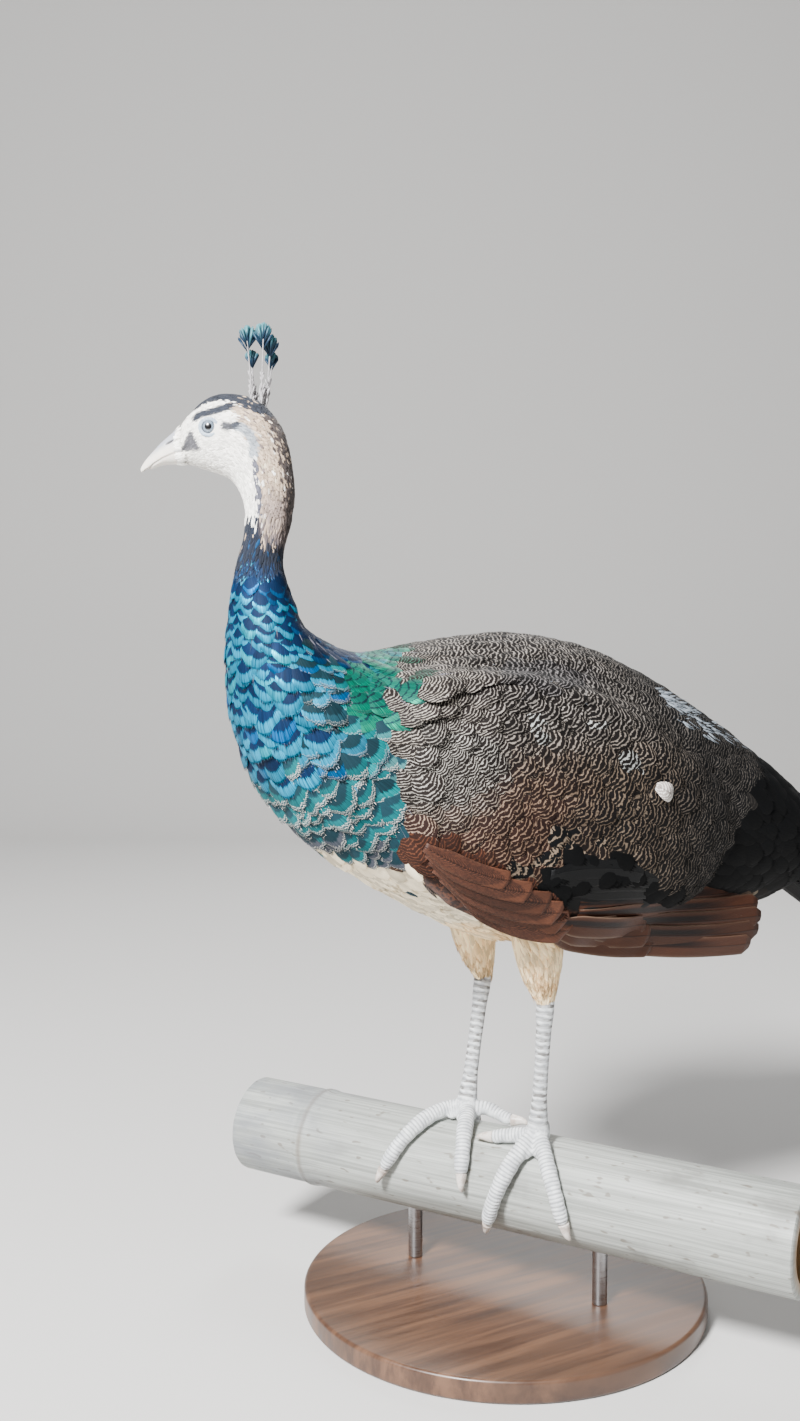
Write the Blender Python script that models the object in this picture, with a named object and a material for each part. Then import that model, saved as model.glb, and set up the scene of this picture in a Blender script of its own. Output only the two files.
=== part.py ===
"""Young peacock, life size, standing on a cut length of bamboo that a plain stand holds up.

The bird faces -X and its left side is -Y. Z is up, and the origin is the middle of the
stand's underside. Bird sizes are measured from the point on the perch's top line
midway between the two feet, which the empty "bird" carries.
"""

from math import cos, pi, radians, sin

import bmesh
import bpy
from mathutils import Matrix, Vector

# ---------------------------------------------------------------- driving dimensions
GAP = 0.0003  # between neighbouring solids
CLEARANCE = 0.0006  # of the cutters round the large curved solids

BASE_RADIUS = 0.165
BASE_THICK = 0.018
BASE_EDGE = 0.003
ROD_RADIUS = 0.006
ROD_SPREAD = 0.085  # of each rod from the middle of the perch
PERCH_RADIUS = 0.041
PERCH_LENGTH = 0.50
PERCH_TOP = 0.145  # height of the perch's top line
PERCH_ANGLE = radians(-61)  # of the perch from +X, seen from above
BORE_RADIUS = 0.029  # of the hollow in the bamboo's cut ends
BORE_DEPTH = 0.030
NODE_RING_AT = -0.178  # of the bamboo's swollen ring from its middle

HEAD_TURN = radians(-30)  # the head looks away to the bird's right
TURN_AT_X = -0.208  # the upright axis that the neck turns about
EYE_RADIUS = 0.0076
EYE_PLACE = Vector((-0.2500, 0.0099, 0.5549))

BODY_SIDES = 24
WING_SIDES = 18
THIGH_SIDES = 16
LIMB_SIDES = 9
DIGIT_SIDES = 7
CLAW_SIDES = 6  # and those of the crest feathers
PERCH_SIDES = 26
BASE_SIDES = 40
ROD_SIDES = 16

# Ovals down the middle of the body, from the tail to the bill:
# (name, back x, back z, belly x, belly z, half width, share of the head's turn)
BODY = (
    ("covert tips", 0.310, 0.254, 0.298, 0.180, 0.036, 0),
    ("tail root", 0.265, 0.287, 0.256, 0.168, 0.054, 0),
    ("rump", 0.203, 0.329, 0.198, 0.156, 0.071, 0),
    ("loin", 0.129, 0.371, 0.125, 0.151, 0.083, 0),
    ("back", 0.055, 0.399, 0.045, 0.152, 0.089, 0),
    ("saddle", -0.020, 0.407, -0.030, 0.162, 0.090, 0),
    ("mantle", -0.092, 0.399, -0.100, 0.196, 0.084, 0),
    ("shoulder", -0.138, 0.394, -0.163, 0.237, 0.074, 0),
    ("breast", -0.160, 0.400, -0.207, 0.283, 0.062, 0),
    ("crop", -0.177, 0.409, -0.232, 0.338, 0.050, 0),
    ("neck root", -0.1895, 0.421, -0.240, 0.390, 0.037, 0),
    ("lower neck", -0.1940, 0.439, -0.239, 0.429, 0.027, 0.1),
    ("middle neck", -0.1985, 0.461, -0.2345, 0.458, 0.0195, 0.5),
    ("upper neck", -0.194, 0.482, -0.2285, 0.478, 0.0176, 0.9),
    ("throat", -0.1895, 0.504, -0.2275, 0.492, 0.0180, 1),
    ("nape", -0.1915, 0.529, -0.2290, 0.504, 0.0186, 1),
    ("hind head", -0.1985, 0.556, -0.2350, 0.516, 0.0192, 1),
    ("crown", -0.2150, 0.5755, -0.2430, 0.5210, 0.0195, 1),
    ("cheek", -0.2350, 0.5815, -0.2515, 0.5235, 0.0183, 1),
    ("eye", -0.2520, 0.5793, -0.2600, 0.5262, 0.0154, 1),
    ("brow", -0.2648, 0.5690, -0.2665, 0.5284, 0.0120, 1),
    ("bill root", -0.2742, 0.5575, -0.2716, 0.5296, 0.0088, 1),
)
STEPS = 2  # rings in each span between two given ones
TOE_STEPS = 3
NECK_FROM, NECK_CUT, HEAD_FROM = "crop", "middle neck", "throat"

# (top x, top z, bottom x, bottom z, half width) from the root to the tip
UPPER_BILL = (
    (-0.2747, 0.5563, -0.2729, 0.5385, 0.0084),
    (-0.2803, 0.5512, -0.2788, 0.5366, 0.0075),
    (-0.2865, 0.5460, -0.2852, 0.5340, 0.0063),
    (-0.2935, 0.5385, -0.2926, 0.5297, 0.0048),
    (-0.2990, 0.5322, -0.2984, 0.5257, 0.0031),
    (-0.3022, 0.5270, -0.3017, 0.5238, 0.0013),
)
LOWER_BILL = (
    (-0.2729, 0.5381, -0.2720, 0.5299, 0.0080),
    (-0.2788, 0.5362, -0.2782, 0.5296, 0.0070),
    (-0.2852, 0.5334, -0.2847, 0.5293, 0.0056),
    (-0.2922, 0.5294, -0.2916, 0.5270, 0.0040),
    (-0.2962, 0.5268, -0.2957, 0.5258, 0.0020),
)
# (x, z, half height, half width) from the coverts to the tips of the feathers
TAIL = (
    (0.340, 0.199, 0.0300, 0.040),
    (0.385, 0.171, 0.0185, 0.044),
    (0.445, 0.134, 0.0125, 0.050),
    (0.510, 0.095, 0.0095, 0.055),
    (0.565, 0.063, 0.0070, 0.050),
    (0.592, 0.047, 0.0040, 0.032),
)
TAIL_LEAN = Vector((0.50, 0, 0.866))  # the upright of the tail's ovals

# (top x, y, z, bottom x, y, z, half thickness), y outwards, from front to back
WING = (
    (-0.154, 0.052, 0.352, -0.152, 0.052, 0.290, 0.012),
    (-0.138, 0.062, 0.374, -0.138, 0.060, 0.247, 0.021),
    (-0.092, 0.074, 0.382, -0.100, 0.068, 0.203, 0.027),
    (-0.030, 0.079, 0.378, -0.045, 0.071, 0.181, 0.030),
    (0.035, 0.079, 0.358, 0.012, 0.072, 0.170, 0.030),
    (0.095, 0.077, 0.326, 0.070, 0.070, 0.172, 0.027),
    (0.150, 0.071, 0.288, 0.122, 0.066, 0.190, 0.020),
    (0.182, 0.064, 0.258, 0.158, 0.063, 0.214, 0.009),
)
PRIMARIES = (
    (0.000, 0.070, 0.188, -0.004, 0.068, 0.172, 0.0040),
    (0.070, 0.071, 0.194, 0.062, 0.067, 0.160, 0.0060),
    (0.136, 0.067, 0.195, 0.134, 0.062, 0.141, 0.0060),
    (0.196, 0.061, 0.185, 0.196, 0.056, 0.129, 0.0050),
    (0.222, 0.057, 0.166, 0.221, 0.055, 0.138, 0.0030),
)
# (x, y, z, half length, half width) from the body down to the hock
THIGH = (
    (0.000, 0.044, 0.198, 0.036, 0.021),
    (-0.001, 0.046, 0.170, 0.0265, 0.021),
    (0.001, 0.046, 0.143, 0.0185, 0.016),
    (0.0055, 0.045, 0.124, 0.0115, 0.0100),
    (0.0078, 0.045, 0.1120, 0.0085, 0.0078),
)
HOCK = Vector((0.0078, 0.045, 0.1117))
TARSUS_RADII = (0.0078, 0.0066, 0.0059, 0.0058, 0.0064, 0.0082)
PALM_RADIUS = 0.0100
PALM_HEIGHT = 0.0105  # of the middle of the palm over the perch

# Each foot on the perch. Places are metres along the perch and degrees round it, from
# its top towards the front. A toe is its radius, how high it arches and its places.
FEET = {
    "left": {
        "palm": (0.0370, 18),
        "toes": {
            "hallux": (0.0056, 0, (0.0280, -14), (0.0225, -38)),
            "inner": (0.0062, 0, (0.014, 24), (-0.001, 29)),
            "middle": (0.0070, 0, (0.029, 42), (0.0175, 80), (0.0055, 120)),
            "outer": (0.0066, 0, (0.049, 36), (0.066, 71), (0.0745, 100)),
        },
    },
    "right": {
        "palm": (-0.0380, -4),
        "toes": {
            "hallux": (0.0056, 0, (-0.043, -30), (-0.046, -52)),
            "inner": (0.0060, 0.004, (-0.018, -11), (0.003, -12)),
            "middle": (0.0070, 0, (-0.030, 12), (-0.020, 48), (-0.0162, 74)),
            "outer": (0.0068, 0, (-0.054, 6), (-0.0715, 44), (-0.0890, 86)),
        },
    },
}
TOE_END = 0.76  # of its radius
BOW_PEAK = 0.4**2 * 0.6**3  # the most that t**2 * (1 - t)**3 comes to
CLAW_LENGTH = 0.0130
CLAW_RADIUS = 0.0035
CLAW_TIP = 0.0004
CLAW_ARCH = 0.0080  # how far the claw rises over the line of its toe
CLAW_HOOK = 0.0012  # how far its tip comes below that line
CLAW_STEPS = 4

# Crest feathers: (root x, root y, tip x, tip y, tip z, half width of the tip)
CREST = (
    (-0.2200, -0.0020, -0.2255, -0.0060, 0.6295, 0.0052),
    (-0.2180, 0.0020, -0.2235, 0.0040, 0.6130, 0.0056),
    (-0.2140, -0.0030, -0.2110, -0.0080, 0.6310, 0.0050),
    (-0.2120, 0.0030, -0.2035, 0.0080, 0.6120, 0.0044),
    (-0.2110, 0.0000, -0.2055, -0.0010, 0.6235, 0.0042),
)
CREST_ROOT_Z = 0.5735
CREST_SHAFT = 0.0006  # half its thickness
CREST_BOW = 0.7
CREST_SHAPE = ((0, 0), (0.35, 0), (0.66, 0.03), (0.74, 0.4), (0.86, 1), (0.95, 0.9), (1, 0.2))

PAINT = {
    "blue": ((0.02, 0.30, 0.48, 1), 0.35, 0.4),
    "face": ((0.86, 0.82, 0.74, 1), 0.7, 0.0),
    "barred": ((0.24, 0.19, 0.15, 1), 0.6, 0.0),
    "chestnut": ((0.36, 0.14, 0.07, 1), 0.5, 0.0),
    "dark": ((0.05, 0.05, 0.05, 1), 0.5, 0.0),
    "buff": ((0.74, 0.63, 0.47, 1), 0.8, 0.0),
    "horn": ((0.66, 0.64, 0.60, 1), 0.4, 0.0),
    "leg": ((0.60, 0.59, 0.57, 1), 0.5, 0.0),
    "eye": ((0.03, 0.02, 0.015, 1), 0.05, 0.0),
    "bamboo": ((0.66, 0.60, 0.50, 1), 0.6, 0.0),
    "wood": ((0.10, 0.07, 0.05, 1), 0.4, 0.0),
    "steel": ((0.45, 0.45, 0.46, 1), 0.3, 1.0),
}


# ---------------------------------------------------------------- building blocks
def clear_scene():
    for obj in list(bpy.data.objects):
        bpy.data.objects.remove(obj)


def painted(obj, paint):
    colour, roughness, metallic = PAINT[paint]
    material = bpy.data.materials.new(obj.name)
    material.use_nodes = True
    shader = material.node_tree.nodes["Principled BSDF"]
    shader.inputs["Base Color"].default_value = colour
    shader.inputs["Roughness"].default_value = roughness
    shader.inputs["Metallic"].default_value = metallic
    obj.data.materials.clear()
    obj.data.materials.append(material)


def object_from(name, mesh_builder, paint, parent=None, cutter=False):
    """An object whose mesh is the bmesh, with its faces turned outwards."""
    bmesh.ops.recalc_face_normals(mesh_builder, faces=mesh_builder.faces)
    mesh = bpy.data.meshes.new(name)
    mesh_builder.to_mesh(mesh)
    mesh_builder.free()
    mesh.shade_smooth()
    mesh.set_sharp_from_angle(angle=radians(50))
    obj = bpy.data.objects.new(name, mesh)
    bpy.context.scene.collection.objects.link(obj)
    obj.parent = parent
    if cutter:
        obj.hide_render = True
        obj.display_type = "WIRE"
    else:
        painted(obj, paint)
    return obj


def lofted(rings):
    """A closed skin through rings of as many points each, with a flat cap at each end."""
    build = bmesh.new()
    rows = [[build.verts.new(point) for point in ring] for ring in rings]
    for row, after in zip(rows, rows[1:]):
        for i in range(len(row)):
            j = (i + 1) % len(row)
            build.faces.new((row[i], row[j], after[j], after[i]))
    build.faces.new(rows[0])
    build.faces.new(rows[-1])
    return build


def oval(middle, up, side, sides):
    """Points round an oval whose half axes are the vectors up and side."""
    turns = [2 * pi * i / sides for i in range(sides)]
    return [middle + up * cos(turn) + side * sin(turn) for turn in turns]


def blended(rows, steps):
    """Smooth rows of numbers through the given ones, with steps in each span."""
    padded = [rows[0], *rows, rows[-1]]
    made = []
    for before, here, there, after in zip(padded, padded[1:], padded[2:], padded[3:]):
        for k in range(steps):
            t = k / steps
            made.append(
                [
                    b + t * (c - a) / 2
                    + t * t * (2 * a - 5 * b + 4 * c - d) / 2
                    + t**3 * (3 * b - a - 3 * c + d) / 2
                    for a, b, c, d in zip(before, here, there, after)
                ]
            )
    return [*made, list(rows[-1])]


def grown(ring, by):
    """The ring with each point moved outwards from its middle."""
    middle = sum(ring, Vector()) / len(ring)
    return [point + (point - middle).normalized() * by for point in ring]


def stepped(ring, towards, by=GAP):
    """The ring moved a little way towards the next one."""
    return [a + (b - a).normalized() * by for a, b in zip(ring, towards)]


def cut(obj, *cutters):
    for cutter in cutters:
        modifier = obj.modifiers.new("minus " + cutter.name, "BOOLEAN")
        modifier.operation = "DIFFERENCE"
        modifier.object = cutter
        modifier.use_self = True


def turned(point, share=1.0):
    """A point of the head or neck after its share of the head's turn."""
    axis = Vector((TURN_AT_X, 0, 0))
    return Matrix.Rotation(HEAD_TURN * share, 3, "Z") @ (point - axis) + axis


def tube(path, radii, sides, outward):
    """Round rings square to a path. outward gives a direction across it at each point."""
    rings = []
    for i, point in enumerate(path):
        along = (path[min(i + 1, len(path) - 1)] - path[max(i - 1, 0)]).normalized()
        side = along.cross(outward(point)).normalized()
        rings.append(oval(point, side.cross(along) * radii[i], side * radii[i], sides))
    return rings


# ---------------------------------------------------------------- the bird
def body_rings():
    """Rings from the tail to the bill, and where each named oval is among them."""
    rows = blended([row[1:] for row in BODY], STEPS)
    rings = []
    for back_x, back_z, belly_x, belly_z, half_width, turn in rows:
        back = Vector((back_x, 0, back_z))
        belly = Vector((belly_x, 0, belly_z))
        ring = oval((back + belly) / 2, (back - belly) / 2, Vector((0, half_width, 0)), BODY_SIDES)
        rings.append([turned(point, turn) for point in ring])
    return rings, {row[0]: i * STEPS for i, row in enumerate(BODY)}


def make_body(bird):
    """The trunk, the two lengths of neck and the head, and the cutters that clear them."""
    rings, at = body_rings()
    cuts = [0, at[NECK_FROM], at[NECK_CUT], at[HEAD_FROM], len(rings) - 1]
    names = ("trunk", "neck_lower", "neck_upper", "head")
    paints = ("barred", "blue", "blue", "face")
    made = {}
    for name, paint, first, last in zip(names, paints, cuts, cuts[1:]):
        part = rings[first : last + 1]
        if first:
            part[0] = stepped(part[0], part[1])
        made[name] = object_from(name, lofted(part), paint, bird)
        if name in ("trunk", "head"):
            clear = [grown(ring, CLEARANCE) for ring in part]
            cutter_name = name + "_clearance"
            made[cutter_name] = object_from(cutter_name, lofted(clear), None, bird, True)
    return made


def sphere(name, radius, place, paint, bird, cutter=False):
    build = bmesh.new()
    bmesh.ops.create_uvsphere(build, u_segments=14, v_segments=8, radius=radius)
    bmesh.ops.translate(build, verts=build.verts, vec=place)
    return object_from(name, build, paint, bird, cutter)


def make_eyes(head, bird):
    for side, sign in (("left", -1), ("right", 1)):
        place = turned(Vector((EYE_PLACE.x, sign * EYE_PLACE.y, EYE_PLACE.z)))
        sphere("eye_" + side, EYE_RADIUS, place, "eye", bird)
        socket = sphere("socket_" + side, EYE_RADIUS + GAP, place, None, bird, True)
        cut(head, socket)


def half_oval(top, bottom, half_width, upwards):
    """A ring that is an arch over a flat chord, or under it."""
    sides = 8
    chord, crown = (bottom, top) if upwards else (top, bottom)
    ring = []
    for i in range(sides + 1):
        turn = pi * i / sides
        side = Vector((0, half_width * cos(turn), 0))
        ring.append(turned(chord + (crown - chord) * sin(turn) + side))
    return ring


def make_bill(bird):
    for name, rows, upwards in (
        ("bill_upper", UPPER_BILL, True),
        ("bill_lower", LOWER_BILL, False),
    ):
        rings = []
        for top_x, top_z, bottom_x, bottom_z, half_width in blended(rows, STEPS):
            top = Vector((top_x, 0, top_z))
            bottom = Vector((bottom_x, 0, bottom_z))
            rings.append(half_oval(top, bottom, half_width, upwards))
        object_from(name, lofted(rings), "horn", bird)


def make_crest(head_clearance, bird):
    """Bare shafts that each end in a small flat fan."""
    for number, (x, y, tip_x, tip_y, tip_z, half_tip) in enumerate(CREST, 1):
        root, tip = Vector((x, y, CREST_ROOT_Z)), Vector((tip_x, tip_y, tip_z))
        bow = Vector((tip_x - x, 0, 0)) * CREST_BOW
        rings = []
        for t, fan in CREST_SHAPE:
            middle = root.lerp(tip, t) - bow * t * (1 - t)
            wide = Vector((CREST_SHAFT + (half_tip - CREST_SHAFT) * fan, 0, 0))
            ring = oval(middle, wide, Vector((0, CREST_SHAFT, 0)), CLAW_SIDES)
            rings.append([turned(point) for point in ring])
        feather = object_from(f"crest_feather_{number}", lofted(rings), "blue", bird)
        cut(feather, head_clearance)


def make_tail(trunk_end, bird):
    """The closed fan of the tail, from the ends of its coverts."""
    first = [point + Vector((GAP, 0, 0)) for point in trunk_end]
    rings = [first]
    rows = [(0.306, 0.220, 0.0404, 0.036), *TAIL]
    for x, z, half_height, half_width in blended(rows, STEPS)[1:]:
        up = TAIL_LEAN * half_height
        rings.append(oval(Vector((x, 0, z)), up, Vector((0, half_width, 0)), BODY_SIDES))
    return object_from("tail", lofted(rings), "dark", bird)


def slab_rings(rows, sign, extra=0.0):
    """Rings of a folded wing, each an oval from its top edge to its bottom edge."""
    rings = []
    for top_x, top_y, top_z, low_x, low_y, low_z, half_thick in blended(rows, STEPS):
        top = Vector((top_x, sign * top_y, top_z))
        low = Vector((low_x, sign * low_y, low_z))
        side = Vector((0, half_thick, 0))
        rings.append(grown(oval((top + low) / 2, (top - low) / 2, side, WING_SIDES), extra))
    return rings


def make_wings(trunk_clearance, bird):
    clearances = {}
    for side, sign in (("left", -1), ("right", 1)):
        wing = object_from("wing_" + side, lofted(slab_rings(WING, sign)), "barred", bird)
        cut(wing, trunk_clearance)
        name = "wing_clearance_" + side
        rings = slab_rings(WING, sign, CLEARANCE)
        wing_clearance = object_from(name, lofted(rings), None, bird, True)
        rings = slab_rings(PRIMARIES, sign)
        primaries = object_from("primaries_" + side, lofted(rings), "chestnut", bird)
        cut(primaries, trunk_clearance, wing_clearance)
        name = "primaries_clearance_" + side
        rings = slab_rings(PRIMARIES, sign, CLEARANCE)
        primaries_clearance = object_from(name, lofted(rings), None, bird, True)
        clearances[side] = (wing_clearance, primaries_clearance)
    return clearances


def off_perch(point):
    """The direction straight out of the perch at the point."""
    line = Vector((cos(PERCH_ANGLE), sin(PERCH_ANGLE), 0))
    out = point + Vector((0, 0, PERCH_RADIUS))
    return (out - line * out.dot(line)).normalized()


def on_perch(along, degrees, over):
    """A point over the perch: metres along it, degrees round it to the front, and out."""
    line = Vector((cos(PERCH_ANGLE), sin(PERCH_ANGLE), 0))
    front = Vector((sin(PERCH_ANGLE), -cos(PERCH_ANGLE), 0))
    angle = radians(degrees)
    out = Vector((0, 0, cos(angle))) + front * sin(angle)
    return line * along + Vector((0, 0, -PERCH_RADIUS)) + out * (PERCH_RADIUS + over)


def toe_path(palm, places, radius, arch):
    """From the middle of the palm down to the perch, then round it, and each radius."""
    places = blended([palm, *places], TOE_STEPS)
    last = len(places) - 1
    path, radii = [], []
    for k, (along, degrees) in enumerate(places):
        t = k / last
        radii.append(radius * (1 + (TOE_END - 1) * t * t))
        rest = radii[-1] + 2 * GAP
        bow = arch * t**2 * (1 - t) ** 3 / BOW_PEAK
        over = rest + (PALM_HEIGHT - rest) * (1 - t) ** 4 + bow
        path.append(on_perch(along, degrees, over))
    return path, radii


def claw_rings(path):
    """A hooked cone that goes on from the end of the toe."""
    end = path[-1]
    out = off_perch(end)
    heading = end - path[-2]
    heading = (heading - out * heading.dot(out)).normalized()
    middles, radii = [], []
    for k in range(CLAW_STEPS + 1):
        t = k / CLAW_STEPS
        arch = CLAW_ARCH * t * t * (1 - t) - CLAW_HOOK * t**3
        middles.append(end + heading * (3 * GAP + CLAW_LENGTH * t) + out * arch)
        radii.append(CLAW_RADIUS * (1 - t) ** 0.8 + CLAW_TIP)
    return tube(middles, radii, CLAW_SIDES, lambda point: out)


def make_foot(side, bird):
    """The palm and four toes joined, with a claw on each toe. Gives the palm's middle."""
    palm_at = FEET[side]["palm"]
    palm = on_perch(*palm_at, PALM_HEIGHT)
    foot = sphere("foot_" + side, PALM_RADIUS, palm, "leg", bird)
    for toe, (radius, arch, *places) in FEET[side]["toes"].items():
        path, radii = toe_path(palm_at, places, radius, arch)
        name = f"toe_{toe}_{side}"
        piece = object_from(name, lofted(tube(path, radii, DIGIT_SIDES, off_perch)), None, bird, True)
        join = foot.modifiers.new("with " + name, "BOOLEAN")
        join.operation = "UNION"
        join.object = piece
        object_from(f"claw_{toe}_{side}", lofted(claw_rings(path)), "horn", bird)
    return palm


def make_legs(trunk_clearance, wing_clearances, bird):
    for side, sign in (("left", -1), ("right", 1)):
        rings = []
        for x, y, z, half_length, half_width in blended(THIGH, STEPS):
            middle = Vector((x, sign * y, z))
            length, width = Vector((half_length, 0, 0)), Vector((0, half_width, 0))
            rings.append(oval(middle, length, width, THIGH_SIDES))
        thigh = object_from("thigh_" + side, lofted(rings), "buff", bird)
        cut(thigh, trunk_clearance, *wing_clearances[side])

        palm = make_foot(side, bird)
        hock = Vector((HOCK.x, sign * HOCK.y, HOCK.z - GAP))
        ankle = palm + (hock - palm).normalized() * (PALM_RADIUS + GAP * 2)
        last = len(TARSUS_RADII) - 1
        path = [hock.lerp(ankle, k / last) for k in range(last + 1)]
        ahead, across = Vector((1, 0, 0)), Vector((0, -1, 0))
        rings = tube(path, TARSUS_RADII, LIMB_SIDES, lambda point: ahead)
        top = TARSUS_RADII[0]
        rings[0] = oval(hock, ahead * top, across * top, LIMB_SIDES)
        object_from("tarsus_" + side, lofted(rings), "leg", bird)


# ---------------------------------------------------------------- the perch and stand
def make_perch():
    """A cut length of bamboo with one swollen ring and a hollow in each cut end."""
    half = PERCH_LENGTH / 2
    profile = [
        (-half + BORE_DEPTH, BORE_RADIUS),
        (-half, BORE_RADIUS),
        (-half, PERCH_RADIUS - 0.0012),
        (-half + 0.0012, PERCH_RADIUS),
        (NODE_RING_AT - 0.008, PERCH_RADIUS),
        (NODE_RING_AT, PERCH_RADIUS + 0.0016),
        (NODE_RING_AT + 0.008, PERCH_RADIUS),
        (half - 0.0012, PERCH_RADIUS),
        (half, PERCH_RADIUS - 0.0012),
        (half, BORE_RADIUS),
        (half - BORE_DEPTH, BORE_RADIUS),
    ]
    axis = Vector((0, 0, PERCH_TOP - PERCH_RADIUS))
    line = Vector((cos(PERCH_ANGLE), sin(PERCH_ANGLE), 0))
    side = line.cross(Vector((0, 0, 1)))
    rings = [
        oval(axis + line * at, Vector((0, 0, radius)), side * radius, PERCH_SIDES)
        for at, radius in profile
    ]
    object_from("perch", lofted(rings), "bamboo")


def make_stand():
    """A round base and two rods that reach up to the underside of the perch."""
    edge = BASE_EDGE
    profile = (
        (0, BASE_RADIUS - edge),
        (edge, BASE_RADIUS),
        (BASE_THICK - edge, BASE_RADIUS),
        (BASE_THICK, BASE_RADIUS - edge),
    )
    up = Vector((0, 0, 1))
    across, ahead = Vector((1, 0, 0)), Vector((0, 1, 0))
    rings = [oval(up * z, across * r, ahead * r, BASE_SIDES) for z, r in profile]
    object_from("stand_base", lofted(rings), "wood")
    underside = PERCH_TOP - 2 * PERCH_RADIUS
    for number, at in ((1, -ROD_SPREAD), (2, ROD_SPREAD)):
        foot = Vector((cos(PERCH_ANGLE), sin(PERCH_ANGLE), 0)) * at
        rings = [
            oval(foot + up * z, across * ROD_RADIUS, ahead * ROD_RADIUS, ROD_SIDES)
            for z in (BASE_THICK + GAP, underside - GAP)
        ]
        object_from(f"stand_rod_{number}", lofted(rings), "steel")


def main():
    clear_scene()
    bird = bpy.data.objects.new("bird", None)
    bpy.context.scene.collection.objects.link(bird)
    bird.location = (0, 0, PERCH_TOP)

    body = make_body(bird)
    make_eyes(body["head"], bird)
    make_bill(bird)
    make_crest(body["head_clearance"], bird)
    make_tail(body_rings()[0][0], bird)
    wing_clearances = make_wings(body["trunk_clearance"], bird)
    make_legs(body["trunk_clearance"], wing_clearances, bird)
    make_perch()
    make_stand()


main()
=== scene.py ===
"""The looks of the young peacock on its bamboo perch and plain stand."""

from contextlib import contextmanager
from math import cos, pi, radians, sin

import bmesh
import bpy
import numpy as np
from mathutils import Matrix, Vector
from mathutils.bvhtree import BVHTree


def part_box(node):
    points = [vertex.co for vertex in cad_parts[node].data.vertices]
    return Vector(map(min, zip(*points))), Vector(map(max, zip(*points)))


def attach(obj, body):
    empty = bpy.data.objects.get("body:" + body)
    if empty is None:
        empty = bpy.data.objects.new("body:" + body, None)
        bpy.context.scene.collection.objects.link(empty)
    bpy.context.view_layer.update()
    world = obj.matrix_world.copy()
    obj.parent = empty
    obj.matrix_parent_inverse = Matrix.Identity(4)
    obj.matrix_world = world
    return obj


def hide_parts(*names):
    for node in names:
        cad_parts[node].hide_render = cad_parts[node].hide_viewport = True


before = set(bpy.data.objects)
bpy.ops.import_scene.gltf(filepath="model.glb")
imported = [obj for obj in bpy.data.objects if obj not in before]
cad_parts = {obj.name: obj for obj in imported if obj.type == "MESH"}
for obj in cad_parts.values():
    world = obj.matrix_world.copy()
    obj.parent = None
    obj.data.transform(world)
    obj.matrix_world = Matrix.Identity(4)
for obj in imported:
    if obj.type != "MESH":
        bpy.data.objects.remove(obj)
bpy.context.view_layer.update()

# ---------------------------------------------------------------- sizes
LIFT = 0.145  # height of the perch's top line, from which bird places are measured
HEAD_TURN = radians(-30)
TURN_AT_X = -0.208
EYE_PLACE = np.array((-0.2500, 0.0099, 0.5549))
EYE_RADIUS = 0.0076
PERCH_ANGLE = radians(-61)
PERCH_RADIUS = 0.041
PERCH_LENGTH = 0.50
BORE_RADIUS = 0.029
BORE_DEPTH = 0.030
NODE_RING_AT = -0.178
BASE_RADIUS = 0.165
BASE_THICK = 0.018
ROD_RADIUS = 0.006

SKIN_VOXEL = 0.0025
FOOT_VOXEL = 0.0007

# The line down the middle of the bird, with its head unturned, from bill to tail (x, z)
SPINE = (
    (-0.2705, 0.5420), (-0.2560, 0.5530), (-0.2330, 0.5510), (-0.2140, 0.5360),
    (-0.2085, 0.5150), (-0.2085, 0.4980), (-0.2113, 0.4800), (-0.2165, 0.4595),
    (-0.2165, 0.4340), (-0.2148, 0.4055), (-0.2045, 0.3735), (-0.1835, 0.3415),
    (-0.1505, 0.3155), (-0.0960, 0.2975), (-0.0250, 0.2845), (0.0500, 0.2755),
    (0.1270, 0.2610), (0.2005, 0.2425), (0.2605, 0.2275), (0.3050, 0.2170),
    (0.5900, 0.0470),
)


# ---------------------------------------------------------------- numbers
def smooth(x, low, high):
    """0 below low, 1 above high and a soft step between, or the other way round."""
    t = np.clip((np.asarray(x, float) - low) / (high - low), 0, 1)
    return t * t * (3 - 2 * t)


def ripple(p, size, seed=0.0):
    """Soft uneven values from -1 to 1 that change over about size metres."""
    q = np.asarray(p) * (2 * pi / size) + seed * 1.7
    x, y, z = q[:, 0], q[:, 1], q[:, 2]
    one = np.sin(x + 1.3 * np.sin(0.7 * y + seed)) * np.cos(0.9 * z + 1.1 * np.sin(0.6 * x))
    two = np.sin(1.9 * z + 1.4 * np.sin(0.8 * x + 2 * seed)) * np.cos(1.7 * y + 0.5 * seed)
    return (one + 0.6 * two) / 1.6


def paint_rgb(*values):
    """Linear colour from values of 0 to 255."""
    c = np.array(values, float) / 255
    return np.where(c <= 0.04045, c / 12.92, ((c + 0.055) / 1.055) ** 2.4)


def unit(v):
    """Rows of vectors made one long."""
    return v / np.maximum(np.linalg.norm(v, axis=1, keepdims=True), 1e-9)


def turn_share(z):
    """How much of the head's turn each height takes."""
    return np.interp(z, (0.39, 0.434, 0.46, 0.482, 0.50), (0, 0.1, 0.5, 0.9, 1))


def spun(p, angle):
    """Points turned about the neck's upright axis by an angle for each."""
    c, s = np.cos(angle), np.sin(angle)
    x, y = p[:, 0] - TURN_AT_X, p[:, 1]
    return np.stack((TURN_AT_X + c * x - s * y, s * x + c * y, p[:, 2]), 1)


def straight(p):
    """Points with the turn of the head and neck taken out."""
    return spun(p, -HEAD_TURN * turn_share(p[:, 2]))


def head_turned(p):
    """Points with the turn of the head and neck put in."""
    return spun(p, HEAD_TURN * turn_share(p[:, 2]))


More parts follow.
